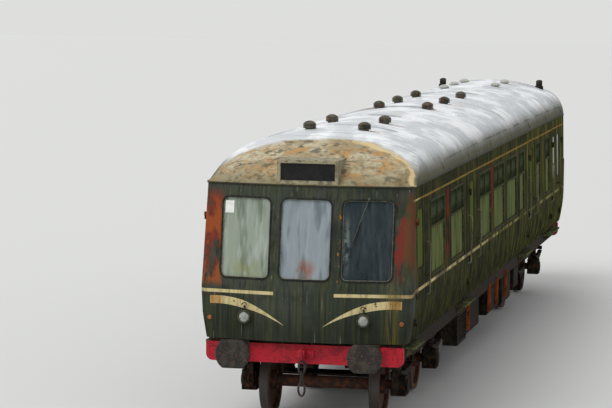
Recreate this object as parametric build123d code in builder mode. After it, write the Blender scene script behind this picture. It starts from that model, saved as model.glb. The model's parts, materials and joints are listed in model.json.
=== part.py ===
from build123d import *
import math
import os

os.makedirs("parts", exist_ok=True)

# A diesel railcar's driving coach, in millimetres.
# +X points to the cab end, +Y to the coach's left side, +Z up.
# The origin is under the middle of the coach, level with the tips of the wheel flanges.
# A place along the coach is given as its distance back from the body's front corners.

# Panels and openings along the side
PANEL_GAP = 6.0
LATCH_GAP = 9.0
LEAF_GAP = 14.0
CAB_SPLIT = 285.0
LARGE_WINDOW = 1220.0
SMALL_WINDOW = 620.0
SALOON_DOOR = 800.0
VAN_LEAF = 691.0

# The side from its front corner back: what stands there, length
SIDE_RUN = [
    ("corner", CAB_SPLIT + PANEL_GAP),
    ("cab_door", 744.0),
    ("partition", 455.0),
    ("window", LARGE_WINDOW),
    ("pillar", 550.0),
    ("window", LARGE_WINDOW),
    ("partition", 560.0),
    ("front_saloon_door", SALOON_DOOR),
    ("partition", 300.0),
    ("window", LARGE_WINDOW),
    ("pillar", 340.0),
    ("window", LARGE_WINDOW),
    ("pillar", 350.0),
    ("window", LARGE_WINDOW),
    ("pillar", 390.0),
    ("window", SMALL_WINDOW),
    ("partition", 650.0),
    ("rear_saloon_door", SALOON_DOOR),
    ("partition", 200.0),
    ("window", SMALL_WINDOW),
    ("pillar", 770.0),
    ("window", SMALL_WINDOW),
    ("partition", 390.0),
    ("van_front_leaf", VAN_LEAF),
    ("meeting", LEAF_GAP),
    ("van_rear_leaf", VAN_LEAF),
    ("corner", 584.0),
]


def lay_out(run):
    """List each stretch of the side with its front and rear edges, as distances back."""
    stretches = []
    reached = 0.0
    for kind, length in run:
        stretches.append((kind, reached, reached + length))
        reached += length
    return stretches


SIDE = lay_out(SIDE_RUN)
SIDE_WINDOWS = [(front, rear) for kind, front, rear in SIDE if kind == "window"]
PARTITIONS = [(front + rear) / 2 for kind, front, rear in SIDE if kind == "partition"]
PILLARS = [(front + rear) / 2 for kind, front, rear in SIDE if kind == "pillar"]
DOOR_EDGES = {kind: (front, rear) for kind, front, rear in SIDE if kind.endswith(("door", "leaf"))}

# Body shell
BODY_LENGTH = SIDE[-1][2]
FRONT_X = BODY_LENGTH / 2
REAR_X = -BODY_LENGTH / 2
WALL = 55.0
SILL_Z = 1226.0
SILL_HALF_WIDTH = 1335.0
WAIST_Z = 1871.0
WAIST_HALF_WIDTH = 1410.0
GUTTER_Z = 3238.0
GUTTER_HALF_WIDTH = 1375.0
FLOOR_THICKNESS = 64.0
FLOOR_Z = SILL_Z + FLOOR_THICKNESS

# Roof
ROOF_RISE = 640.0
SHOULDER_RADIUS = 480.0
ROOF_WALL = 50.0
GUTTER_DEPTH = 26.0
GUTTER_PROUD = 14.0

# Cab front
FRONT_BOW = 160.0
FACET_HALF_WIDTH = 405.0
FRONT_RAKE = 8.0
CAB_CORNER_RADIUS = 100.0
CAB_WINDOW_SILL_Z = 2038.0
CAB_WINDOW_HEAD_Z = 3068.0
CAB_WINDOW_RADIUS = 80.0
CAB_CENTRE_WINDOW_WIDTH = 660.0
CAB_SIDE_WINDOW_WIDTH = 650.0
CAB_SIDE_WINDOW_Y = 805.0
CAB_GLASS_THICKNESS = 8.0
CAB_GLASS_INSET = 16.0
GLASS_GAP = 0.4

# Side windows
WINDOW_SILL_Z = 1958.0
WINDOW_HEAD_Z = 2978.0
WINDOW_RADIUS = 60.0
WINDOW_FRAME = 28.0
WINDOW_FRAME_DEPTH = 50.0
WINDOW_FRAME_PROUD = 5.0
TOPLIGHT_BAR_Z = 2608.0
TOPLIGHT_BAR = 36.0
SIDE_GLASS_THICKNESS = 8.0
SIDE_GLASS_INSET = 18.0
STILE = 30.0
WIDE_WINDOW = (LARGE_WINDOW + SMALL_WINDOW) / 2

# Doors
DOOR_HEAD_Z = 3056.0
DROPLIGHT_SILL_Z = 2160.0
DROPLIGHT_HEAD_Z = 2930.0
DROPLIGHT_RADIUS = 50.0
DOOR_HINGE_OUT = 12.0
HINGE_RADIUS = 9.0
HINGE_LENGTH = 50.0
HINGE_STRAP = 55.0
HINGE_STRAP_DEPTH = 62.0
HINGE_STRAP_Y = WAIST_HALF_WIDTH + DOOR_HINGE_OUT - HINGE_STRAP_DEPTH / 2
HINGE_HEIGHTS = [WAIST_Z - 420.0, WAIST_Z - 60.0, WAIST_Z + 900.0]
HINGE_RUNNING_GAP = 0.3
HINGE_LIFT = HINGE_LENGTH + HINGE_RUNNING_GAP
HANDLE_Z = 2040.0
HANDLE_FROM_EDGE = 90.0
HANDLE_REACH = 110.0
HANDLE_RADIUS = 12.0
HANDLE_STAND_OFF = 45.0
HANDLE_STEM_RADIUS = 16.0
HANDLE_ROOT = 25.0
GANGWAY_DOOR_WIDTH = 700.0
GANGWAY_DOOR_HEAD_Z = 3200.0
GANGWAY_DOOR_THICKNESS = 40.0
GANGWAY_HINGE_IN = 14.0
GANGWAY_HINGE_X = REAR_X + WALL + GANGWAY_HINGE_IN
GANGWAY_HINGE_HEIGHTS = [FLOOR_Z + 250.0, FLOOR_Z + 1650.0]

# Running gear
WHEEL_TREAD_RADIUS = 457.0
FLANGE_HEIGHT = 28.0
AXLE_Z = WHEEL_TREAD_RADIUS + FLANGE_HEIGHT
BACK_TO_BACK = 1362.0
TYRE_WIDTH = 133.0
FLANGE_WIDTH = 32.0
TREAD_CONE = 4.0
RIM_DEPTH = 75.0
WEB_THICKNESS = 26.0
HUB_RADIUS = 130.0
HUB_WIDTH = 185.0
AXLE_RADIUS = 82.0
JOURNAL_RADIUS = 62.0
JOURNAL_CLEARANCE = 0.08
AXLE_HALF_LENGTH = 1060.0
BOGIE_CENTRES = 12190.0
BOGIE_WHEELBASE = 2590.0
JOURNAL_Y = 990.0
BOGIE_SIDE_THICKNESS = 90.0
BOGIE_SIDE_HALF_LENGTH = 1830.0
BOGIE_TOP_Z = 900.0
BOGIE_SIDE_DEPTH = 150.0
HORN_BOTTOM_Z = 400.0
HORN_THICKNESS = 55.0
AXLEBOX_WIDTH = 250.0
AXLEBOX_HEIGHT = 270.0
AXLEBOX_DEPTH = 205.0
AXLEBOX_INNER_Y = 920.0
AXLEBOX_COVER_RADIUS = 95.0
AXLEBOX_COVER = 18.0
JOURNAL_END_GAP = 3.0
SLIDE_GAP = 0.4
BOLSTER_TOP_Z = 960.0
BOLSTER_WIDTH = 320.0
BOLSTER_DEPTH = 170.0
PIVOT_RADIUS = 65.0
PIVOT_CLEARANCE = 0.08
SEAT_GAP = 0.3

# Underframe
SOLEBAR_Y = 1275.0
SOLEBAR_DEPTH = 230.0
SOLEBAR_FLANGE = 75.0
PLATE = 12.0
BUFFER_BEAM_THICKNESS = 35.0
BUFFER_BEAM_HALF_WIDTH = 1310.0
BUFFER_BEAM_LOW_Z = 933.0
BUFFER_BEAM_HIGH_Z = 1183.0
BUFFER_Z = 1085.0
BUFFER_Y = 864.0
BUFFER_REACH = 480.0
BUFFER_HEAD_RADIUS = 228.0
BUFFER_HEAD_THICKNESS = 32.0
BUFFER_HEAD_HEIGHT = 370.0
BUFFER_RIM_BEVEL = 14.0
BUFFER_SHANK_RADIUS = 105.0
BUFFER_TRAVEL = 120.0
BUFFER_RAM_RADIUS = 80.0
BUFFER_BASE = 270.0
BUFFER_BASE_THICKNESS = 25.0
HOOK_THICKNESS = 60.0
CROSS_BAR = 60.0
STEP_TOP_Z = 1150.0
STEP_THICKNESS = 32.0
STEP_OUT_Y = 1400.0
STEP_BRACKET = 14.0
RAIL_RADIUS = 11.0
RAIL_STAND_OFF = 42.0
RAIL_BEND = 40.0
RAIL_FROM_DOOR = 90.0
RAIL_LOW_Z = 1760.0
RAIL_HIGH_Z = 2460.0

ALIGN_LOW = (Align.CENTER, Align.CENTER, Align.MIN)

# Side doors: name, which edge is hinged (1 front, -1 rear), droplight's margins ahead and behind
SIDE_DOORS = [
    ("cab_door", 1, 109.0, 135.0),
    ("front_saloon_door", 1, 130.0, 230.0),
    ("rear_saloon_door", 1, 130.0, 230.0),
    ("van_front_leaf", 1, 190.0, 145.0),
    ("van_rear_leaf", -1, 149.0, 186.0),
]

PARTITION_THICKNESS = 40.0
PARTITION_DOORWAY = 620.0
PARTITION_DOOR_HEAD_Z = 3120.0

# Seats
SEAT_WIDTH = 880.0
SEAT_OUTER_Y = 1270.0
SEAT_PLINTH = 300.0
SEAT_DEPTH = 440.0
SEAT_HEIGHT = 440.0
SEAT_CUSHION = 140.0
SEAT_BACK_HEIGHT = 1120.0
SEAT_BACK_THICKNESS = 90.0

# Roof ventilators: distance back of each pair, sides fitted (1 left, -1 right), hood rings
VENTS = [
    (2000.0, (1, -1), 3),
    (3600.0, (1, -1), 3),
    (7400.0, (1, -1), 3),
    (9100.0, (1, -1), 3),
    (10900.0, (1, -1), 3),
    (14000.0, (-1,), 1),
    (15200.0, (1, -1), 1),
    (16500.0, (1, -1), 1),
]
VENT_Y = 380.0
VENT_RADIUS = 90.0
VENT_RING = 13.0
VENT_GROOVE = 7.0
VENT_CAP = 42.0
VENT_NECK_RADIUS = 60.0
VENT_NECK = 15.0
VENT_SUNK = 70.0


def along(distance_back):
    """Give the X of a place from its distance back from the front corners."""
    return FRONT_X - distance_back


def write(piece, name):
    """Label a finished piece and write it as its own file."""
    piece.label = name
    export_step(piece, f"parts/{name}.step")


# Body side: tumblehome arc below the waist, flat and leaning inwards above it
SIDE_LEAN = math.degrees(
    math.atan2(WAIST_HALF_WIDTH - GUTTER_HALF_WIDTH, GUTTER_Z - WAIST_Z)
)
LEFT_WALL = Plane(
    origin=(0, WAIST_HALF_WIDTH, WAIST_Z),
    x_dir=(-1, 0, 0),
    z_dir=(0, math.cos(math.radians(SIDE_LEAN)), math.sin(math.radians(SIDE_LEAN))),
)


def wall_length(x_rear, x_front):
    """Build a length of the left wall at its full height."""
    with BuildPart() as length:
        with BuildSketch(Plane.YZ.offset(x_rear)):
            with BuildLine():
                TangentArc(
                    (WAIST_HALF_WIDTH, WAIST_Z), (SILL_HALF_WIDTH, SILL_Z), tangent=(0, -1)
                )
                Line((SILL_HALF_WIDTH, SILL_Z), (SILL_HALF_WIDTH - WALL, SILL_Z))
                TangentArc(
                    (WAIST_HALF_WIDTH - WALL, WAIST_Z),
                    (SILL_HALF_WIDTH - WALL, SILL_Z),
                    tangent=(0, -1),
                )
                Polyline(
                    (WAIST_HALF_WIDTH - WALL, WAIST_Z),
                    (GUTTER_HALF_WIDTH - WALL, GUTTER_Z),
                    (GUTTER_HALF_WIDTH, GUTTER_Z),
                    (WAIST_HALF_WIDTH, WAIST_Z),
                )
            make_face()
        extrude(amount=x_front - x_rear)
    return length.part


def hinge_halves(hinge_x, away, heights, lift):
    """Add hinge knuckles, each with a block that joins it to the wall on one side."""
    for z in heights:
        with Locations((hinge_x, WAIST_HALF_WIDTH + DOOR_HINGE_OUT, z + lift)):
            Cylinder(HINGE_RADIUS, HINGE_LENGTH)
        with Locations((hinge_x + away * HINGE_STRAP / 2, HINGE_STRAP_Y, z + lift)):
            Box(HINGE_STRAP, HINGE_STRAP_DEPTH, HINGE_LENGTH)


def window_sketch(front, rear, z_low, z_high, radius):
    """Draw one rounded opening in the plane of the left wall."""
    centre = (-along((front + rear) / 2), (z_low + z_high) / 2 - WAIST_Z)
    with Locations(centre):
        RectangleRounded(rear - front, z_high - z_low, radius)


wall = wall_length(REAR_X + WALL, along(CAB_SPLIT))
with BuildPart() as left_side:
    add(wall)
    for name, hinge, margin_front, margin_rear in SIDE_DOORS:
        front, rear = DOOR_EDGES[name]
        front -= PANEL_GAP if hinge > 0 else LATCH_GAP
        rear += LATCH_GAP if hinge > 0 else PANEL_GAP
        with Locations((along((front + rear) / 2), WAIST_HALF_WIDTH, SILL_Z)):
            Box(
                rear - front,
                4 * WALL + WAIST_HALF_WIDTH - SILL_HALF_WIDTH,
                2 * (DOOR_HEAD_Z + PANEL_GAP - SILL_Z),
                mode=Mode.SUBTRACT,
            )
    with BuildSketch(LEFT_WALL):
        for front, rear in SIDE_WINDOWS:
            window_sketch(front, rear, WINDOW_SILL_Z, WINDOW_HEAD_Z, WINDOW_RADIUS)
    extrude(amount=2 * WALL, both=True, mode=Mode.SUBTRACT)
    for name, hinge, margin_front, margin_rear in SIDE_DOORS[1:]:
        front, rear = DOOR_EDGES[name]
        hinge_halves(along(front if hinge > 0 else rear), hinge, HINGE_HEIGHTS, HINGE_LIFT)
write(left_side.part, "left_side")

with BuildPart() as right_side:
    mirror(left_side.part, about=Plane.XZ)
write(right_side.part, "right_side")

# Window frames, each with a bar under its toplight and, in a wide one, two meeting stiles
with BuildPart() as left_frames:
    with BuildSketch(LEFT_WALL.offset(-WINDOW_FRAME_DEPTH)):
        for front, rear in SIDE_WINDOWS:
            window_sketch(front, rear, WINDOW_SILL_Z, WINDOW_HEAD_Z, WINDOW_RADIUS)
        for front, rear in SIDE_WINDOWS:
            middle = -along((front + rear) / 2)
            with Locations((middle, (WINDOW_SILL_Z + WINDOW_HEAD_Z) / 2 - WAIST_Z)):
                RectangleRounded(
                    rear - front - 2 * WINDOW_FRAME,
                    WINDOW_HEAD_Z - WINDOW_SILL_Z - 2 * WINDOW_FRAME,
                    WINDOW_RADIUS - WINDOW_FRAME,
                    mode=Mode.SUBTRACT,
                )
            with Locations((middle, TOPLIGHT_BAR_Z - WAIST_Z)):
                Rectangle(rear - front - WINDOW_FRAME, TOPLIGHT_BAR)
            if rear - front > WIDE_WINDOW:
                toplight_z = (TOPLIGHT_BAR_Z + WINDOW_HEAD_Z - WINDOW_FRAME) / 2
                with Locations((middle, toplight_z - WAIST_Z)):
                    Rectangle(STILE, WINDOW_HEAD_Z - WINDOW_FRAME - TOPLIGHT_BAR_Z + WINDOW_FRAME / 2)
    extrude(amount=WINDOW_FRAME_DEPTH + WINDOW_FRAME_PROUD)
with BuildPart() as window_frames:
    add(left_frames.part)
    mirror(left_frames.part, about=Plane.XZ)
write(window_frames.part, "window_frames")

# Side glass, a lower pane and one or two toplight panes in each frame
with BuildPart() as left_glass:
    with BuildSketch(LEFT_WALL.offset(-SIDE_GLASS_INSET - SIDE_GLASS_THICKNESS)):
        for front, rear in SIDE_WINDOWS:
            lower = WINDOW_SILL_Z + WINDOW_FRAME + GLASS_GAP
            lower_top = TOPLIGHT_BAR_Z - TOPLIGHT_BAR / 2 - GLASS_GAP
            upper_low = TOPLIGHT_BAR_Z + TOPLIGHT_BAR / 2 + GLASS_GAP
            upper = WINDOW_HEAD_Z - WINDOW_FRAME - GLASS_GAP
            edge_front = front + WINDOW_FRAME + GLASS_GAP
            edge_rear = rear - WINDOW_FRAME - GLASS_GAP
            toplights = [(edge_front, edge_rear)]
            if rear - front > WIDE_WINDOW:
                stile_front = (front + rear - STILE) / 2 - GLASS_GAP
                stile_rear = (front + rear + STILE) / 2 + GLASS_GAP
                toplights = [(edge_front, stile_front), (stile_rear, edge_rear)]
            window_sketch(edge_front, edge_rear, lower, lower_top, WINDOW_RADIUS - WINDOW_FRAME)
            for pane_front, pane_rear in toplights:
                window_sketch(
                    pane_front, pane_rear, upper_low, upper, WINDOW_RADIUS - WINDOW_FRAME
                )
    extrude(amount=SIDE_GLASS_THICKNESS)
with BuildPart() as side_glass:
    add(left_glass.part)
    mirror(left_glass.part, about=Plane.XZ)
write(side_glass.part, "side_glass")


# Cab front: a flat middle facet and two swept-back ones with rounded corners,
# upright to the waist and raked back above it
RAKE_AT_GUTTER = (GUTTER_Z - WAIST_Z) * math.tan(math.radians(FRONT_RAKE))
TUMBLEHOME_MID_Z = (SILL_Z + WAIST_Z) / 2
TUMBLEHOME_MID = WAIST_HALF_WIDTH - (WAIST_HALF_WIDTH - SILL_HALF_WIDTH) / 4

# Cab sections: height, half width, how far the front leans back there
CAB_SECTIONS = [
    (SILL_Z, SILL_HALF_WIDTH, 0.0),
    (TUMBLEHOME_MID_Z, TUMBLEHOME_MID, 0.0),
    (WAIST_Z, WAIST_HALF_WIDTH, 0.0),
    (GUTTER_Z, GUTTER_HALF_WIDTH, RAKE_AT_GUTTER),
]


def bowed_outline(z, half_width, front_x, rear_x, bow, corner_radius):
    """Draw a level outline with a bowed, three-facet front and rounded corners."""
    corner_x = front_x - bow
    facet_length = math.hypot(bow, half_width - FACET_HALF_WIDTH)
    facet_angle = math.atan2(bow, half_width - FACET_HALF_WIDTH)
    setback = corner_radius * math.tan((math.pi / 2 - facet_angle) / 2)
    arc_x = corner_x + setback * bow / facet_length
    arc_y = half_width - setback * (half_width - FACET_HALF_WIDTH) / facet_length
    with BuildSketch(Plane.XY.offset(z)) as outline:
        with BuildLine():
            TangentArc((corner_x - setback, half_width), (arc_x, arc_y), tangent=(1, 0))
            Polyline(
                (arc_x, arc_y),
                (front_x, FACET_HALF_WIDTH),
                (front_x, -FACET_HALF_WIDTH),
                (arc_x, -arc_y),
            )
            TangentArc((corner_x - setback, -half_width), (arc_x, -arc_y), tangent=(1, 0))
            Polyline(
                (corner_x - setback, -half_width),
                (rear_x, -half_width),
                (rear_x, half_width),
                (corner_x - setback, half_width),
            )
        make_face()
    return outline.sketch


def cab_form(inset, rear_x):
    """Build the cab's closed form, moved in by an inset."""
    sections = [
        bowed_outline(
            z,
            half_width - inset,
            FRONT_X + FRONT_BOW - lean - inset,
            rear_x,
            FRONT_BOW,
            CAB_CORNER_RADIUS - inset,
        )
        for z, half_width, lean in CAB_SECTIONS
    ]
    with BuildPart() as form:
        loft(sections, ruled=True)
    return form.part


def cab_windows(gap):
    """Build the prisms of the three cab windows, made smaller by a gap all round."""
    height = CAB_WINDOW_HEAD_Z - CAB_WINDOW_SILL_Z
    with BuildPart() as prisms:
        with BuildSketch(Plane.YZ.offset(along(CAB_SPLIT) - WALL)):
            for y, width in (
                (-CAB_SIDE_WINDOW_Y, CAB_SIDE_WINDOW_WIDTH),
                (0.0, CAB_CENTRE_WINDOW_WIDTH),
                (CAB_SIDE_WINDOW_Y, CAB_SIDE_WINDOW_WIDTH),
            ):
                with Locations((y, (CAB_WINDOW_HEAD_Z + CAB_WINDOW_SILL_Z) / 2)):
                    RectangleRounded(width - 2 * gap, height - 2 * gap, CAB_WINDOW_RADIUS - gap)
        extrude(amount=CAB_SPLIT + FRONT_BOW + 2 * WALL)
    return prisms.part


cab_outer = cab_form(0.0, along(CAB_SPLIT))
cab_inner = cab_form(WALL, along(CAB_SPLIT) - WALL)
with BuildPart() as cab_hinges:
    hinge_halves(along(CAB_SPLIT + PANEL_GAP), 1, HINGE_HEIGHTS, HINGE_LIFT)
with BuildPart() as cab_front:
    add(cab_outer)
    add(cab_inner, mode=Mode.SUBTRACT)
    add(cab_windows(0.0), mode=Mode.SUBTRACT)
    add(cab_hinges.part)
    mirror(cab_hinges.part, about=Plane.XZ)
write(cab_front.part, "cab_front")

glass_outer = cab_form(CAB_GLASS_INSET, along(CAB_SPLIT))
glass_inner = cab_form(CAB_GLASS_INSET + CAB_GLASS_THICKNESS, along(CAB_SPLIT) - WALL)
with BuildPart() as cab_glass:
    add(cab_windows(GLASS_GAP))
    add(glass_outer, mode=Mode.INTERSECT)
    add(glass_inner, mode=Mode.SUBTRACT)
write(cab_glass.part, "cab_glass")

# Roof: a large crown arc between two shoulder arcs, ending in a dome over the cab
SHOULDER_Y = GUTTER_HALF_WIDTH - SHOULDER_RADIUS
CROWN_RADIUS = (SHOULDER_Y**2 + ROOF_RISE**2 - SHOULDER_RADIUS**2) / (
    2 * (ROOF_RISE - SHOULDER_RADIUS)
)
JOINT_ANGLE = math.atan2(CROWN_RADIUS - ROOF_RISE, SHOULDER_Y)
JOINT_RISE = SHOULDER_RADIUS * math.sin(JOINT_ANGLE)

# Dome: levels as shares of the roof's rise, and how its plan changes up to the crown
DOME_SHARES = [0.0, 0.12, 0.28, 0.46, 0.64, 0.8, 0.92, 0.97, 1.0]
DOME_LENGTH = 2400.0
DOME_FULLNESS = 1.45
DOME_EXTRA_BOW = 300.0
DOME_CORNER_LOW = CAB_CORNER_RADIUS / GUTTER_HALF_WIDTH
DOME_CORNER_HIGH = 0.8
DOME_OVERLAP = 20.0
DOME_TAIL = 1500.0


def roof_section(x, inset):
    """Draw the roof's section with all arcs moved in by an inset."""
    radius = SHOULDER_RADIUS - inset
    half = JOINT_ANGLE / 2
    joint_y = SHOULDER_Y + radius * math.cos(JOINT_ANGLE)
    joint_z = GUTTER_Z + radius * math.sin(JOINT_ANGLE)
    arc_y = SHOULDER_Y + radius * math.cos(half)
    arc_z = GUTTER_Z + radius * math.sin(half)
    edge_y = GUTTER_HALF_WIDTH - inset
    with BuildSketch(Plane.YZ.offset(x)) as section:
        with BuildLine():
            for side in (1, -1):
                ThreePointArc(
                    (side * edge_y, GUTTER_Z), (side * arc_y, arc_z), (side * joint_y, joint_z)
                )
            ThreePointArc(
                (joint_y, joint_z), (0, GUTTER_Z + ROOF_RISE - inset), (-joint_y, joint_z)
            )
            Line((-edge_y, GUTTER_Z), (edge_y, GUTTER_Z))
        make_face()
    return section.sketch


def shoulder_half_width(rise):
    """Give the roof's half width at a rise, up to the joint of its arcs."""
    reach = min(rise, JOINT_RISE)
    return SHOULDER_Y + math.sqrt(SHOULDER_RADIUS**2 - reach**2)


def dome_outline(z, half_width, front_x, rear_x, bow, corner_radius):
    """Draw a level outline with one bowed arc in front between two corner arcs."""
    front_radius = (bow**2 + half_width**2) / (2 * bow)
    centre_x = front_x - front_radius
    inner_radius = front_radius - corner_radius
    corner_x = centre_x + math.sqrt(inner_radius**2 - (half_width - corner_radius) ** 2)
    touch_x = centre_x + (corner_x - centre_x) * front_radius / inner_radius
    touch_y = (half_width - corner_radius) * front_radius / inner_radius
    with BuildSketch(Plane.XY.offset(z)) as outline:
        with BuildLine():
            for side in (1, -1):
                Line((rear_x, side * half_width), (corner_x, side * half_width))
                TangentArc(
                    (corner_x, side * half_width), (touch_x, side * touch_y), tangent=(1, 0)
                )
            ThreePointArc((touch_x, touch_y), (front_x, 0), (touch_x, -touch_y))
            Line((rear_x, -half_width), (rear_x, half_width))
        make_face()
    return outline.sketch


def dome_level(share, inset):
    """Draw the dome's outline at a share of the roof's rise, moved in by an inset."""
    half_width = shoulder_half_width(share * ROOF_RISE) + DOME_OVERLAP - inset
    roundness = DOME_CORNER_LOW + (DOME_CORNER_HIGH - DOME_CORNER_LOW) * math.sqrt(share)
    return dome_outline(
        GUTTER_Z + share * ROOF_RISE - inset,
        half_width,
        BROW_X - DOME_LENGTH * (1 - math.sqrt(1 - share**DOME_FULLNESS)) - inset,
        along(DOME_LENGTH + DOME_TAIL),
        FRONT_BOW + DOME_EXTRA_BOW * share**2,
        half_width * roundness,
    )


def dome_form(inset):
    """Build the closed form of the roof's front end, moved in by an inset."""
    with BuildPart() as limit:
        loft([dome_level(share, inset) for share in DOME_SHARES])
    with BuildPart() as form:
        extrude(roof_section(along(DOME_LENGTH), inset), amount=DOME_LENGTH)
        add(limit.part, mode=Mode.INTERSECT)
    return form.part


def gutter_outline(proud):
    """Draw the roof's outline at the gutter, widened or narrowed."""
    return bowed_outline(
        GUTTER_Z,
        GUTTER_HALF_WIDTH + proud,
        BROW_X + proud,
        REAR_X + WALL,
        FRONT_BOW,
        CAB_CORNER_RADIUS + proud,
    )


BROW_X = FRONT_X + FRONT_BOW - RAKE_AT_GUTTER
dome_outer = dome_form(0.0)
dome_inner = dome_form(ROOF_WALL)
with BuildPart() as roof:
    extrude(roof_section(REAR_X + WALL, 0.0), amount=BODY_LENGTH - WALL - DOME_LENGTH)
    add(dome_outer)
    extrude(gutter_outline(GUTTER_PROUD), amount=GUTTER_DEPTH)
    extrude(
        roof_section(REAR_X, ROOF_WALL), amount=BODY_LENGTH - DOME_LENGTH, mode=Mode.SUBTRACT
    )
    add(dome_inner, mode=Mode.SUBTRACT)
    extrude(gutter_outline(-ROOF_WALL), amount=GUTTER_DEPTH, mode=Mode.SUBTRACT)
write(roof.part, "roof")


def section_block(x_rear, x_front, inset):
    """Build a slice of the coach's whole section, moved in by an inset."""
    with BuildPart() as block:
        with BuildSketch(Plane.YZ.offset(x_rear)):
            with BuildLine():
                for side in (1, -1):
                    TangentArc(
                        (side * (WAIST_HALF_WIDTH - inset), WAIST_Z),
                        (side * (SILL_HALF_WIDTH - inset), SILL_Z),
                        tangent=(0, -1),
                    )
                    Line(
                        (side * (WAIST_HALF_WIDTH - inset), WAIST_Z),
                        (side * (GUTTER_HALF_WIDTH - inset), GUTTER_Z),
                    )
                Line((SILL_HALF_WIDTH - inset, SILL_Z), (inset - SILL_HALF_WIDTH, SILL_Z))
                Line((GUTTER_HALF_WIDTH - inset, GUTTER_Z), (inset - GUTTER_HALF_WIDTH, GUTTER_Z))
            make_face()
        extrude(amount=x_front - x_rear)
        extrude(roof_section(x_rear, inset), amount=x_front - x_rear)
    return block.part


# Rear end wall, one panel as wide as the coach, with the gangway's doorway
rear_slice = section_block(REAR_X, REAR_X + WALL, 0.0)
with BuildPart() as rear_end:
    add(rear_slice)
    with Locations((REAR_X, 0, FLOOR_Z)):
        Box(
            4 * WALL,
            GANGWAY_DOOR_WIDTH + 2 * PANEL_GAP,
            GANGWAY_DOOR_HEAD_Z + PANEL_GAP - FLOOR_Z,
            align=ALIGN_LOW,
            mode=Mode.SUBTRACT,
        )
    for z in GANGWAY_HINGE_HEIGHTS:
        with Locations((GANGWAY_HINGE_X, GANGWAY_DOOR_WIDTH / 2, z + HINGE_LIFT)):
            Cylinder(HINGE_RADIUS, HINGE_LENGTH)
        with Locations((REAR_X + WALL, GANGWAY_DOOR_WIDTH / 2 + HINGE_STRAP / 2, z + HINGE_LIFT)):
            Box(2 * GANGWAY_HINGE_IN, HINGE_STRAP, HINGE_LENGTH)
write(rear_end.part, "rear_end")

# Floor, following the bowed front
with BuildPart() as floor:
    extrude(
        bowed_outline(
            SILL_Z,
            SILL_HALF_WIDTH - WALL,
            FRONT_X + FRONT_BOW - WALL,
            REAR_X + WALL,
            FRONT_BOW,
            CAB_CORNER_RADIUS - WALL,
        ),
        amount=FLOOR_THICKNESS,
    )
write(floor.part, "floor")

# Partitions across the coach, each with a middle doorway
partition_slices = [
    section_block(
        along(distance_back) - PARTITION_THICKNESS / 2,
        along(distance_back) + PARTITION_THICKNESS / 2,
        WALL + SEAT_GAP,
    )
    for distance_back in PARTITIONS
]
with BuildPart() as above_dome:
    with Locations((along(DOME_LENGTH / 2), 0, GUTTER_Z)):
        Box(DOME_LENGTH, 2 * WAIST_HALF_WIDTH, ROOF_RISE, align=ALIGN_LOW)
    add(dome_form(ROOF_WALL + SEAT_GAP), mode=Mode.SUBTRACT)
with BuildPart() as partitions:
    for partition_slice in partition_slices:
        add(partition_slice)
    add(above_dome.part, mode=Mode.SUBTRACT)
    with Locations((0, 0, 0)):
        Box(2 * BODY_LENGTH, 2 * WAIST_HALF_WIDTH, 2 * FLOOR_Z, mode=Mode.SUBTRACT)
        Box(
            2 * BODY_LENGTH,
            PARTITION_DOORWAY,
            2 * PARTITION_DOOR_HEAD_Z,
            mode=Mode.SUBTRACT,
        )
write(partitions.part, "partitions")

# Seats: a plinth, a cushion and a back in one profile, either side of the aisle
SEAT_HALF_PROFILE = [
    (SEAT_PLINTH, 0.0),
    (SEAT_PLINTH, SEAT_HEIGHT - SEAT_CUSHION),
    (SEAT_DEPTH + SEAT_BACK_THICKNESS / 2, SEAT_HEIGHT - SEAT_CUSHION),
    (SEAT_DEPTH + SEAT_BACK_THICKNESS / 2, SEAT_HEIGHT),
    (SEAT_BACK_THICKNESS, SEAT_HEIGHT - SEAT_CUSHION / 4),
    (SEAT_BACK_THICKNESS / 2, SEAT_BACK_HEIGHT),
]


def seat_row(distance_back, facings):
    """Draw a seat's profile, facing one way or both."""
    x_back = along(distance_back)
    for facing in facings:
        Polygon(
            (x_back, FLOOR_Z),
            *[(x_back + facing * u, FLOOR_Z + v) for u, v in SEAT_HALF_PROFILE],
            (x_back, FLOOR_Z + SEAT_BACK_HEIGHT),
            align=None,
        )


def seat_ends():
    """List the seats against partitions: distance back, faces (1 forward, -1 rearward)."""
    stand_off = PARTITION_THICKNESS / 2 + SEAT_GAP
    ends = []
    for ahead, here, behind in zip(SIDE, SIDE[1:], SIDE[2:]):
        middle = (here[1] + here[2]) / 2
        if here[0] == "partition" and ahead[0] == "window":
            ends.append((middle - stand_off, 1))
        if here[0] == "partition" and behind[0] == "window":
            ends.append((middle + stand_off, -1))
    return ends


SEAT_PLANE = Plane(origin=(0, SEAT_OUTER_Y, 0), x_dir=(1, 0, 0), z_dir=(0, -1, 0))
with BuildPart() as left_seats:
    with BuildSketch(SEAT_PLANE):
        for distance_back in PILLARS:
            seat_row(distance_back, (1, -1))
        for distance_back, facing in seat_ends():
            seat_row(distance_back, (facing,))
    extrude(amount=SEAT_WIDTH)
with BuildPart() as seats:
    add(left_seats.part)
    mirror(left_seats.part, about=Plane.XZ)
write(seats.part, "seats")


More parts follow.
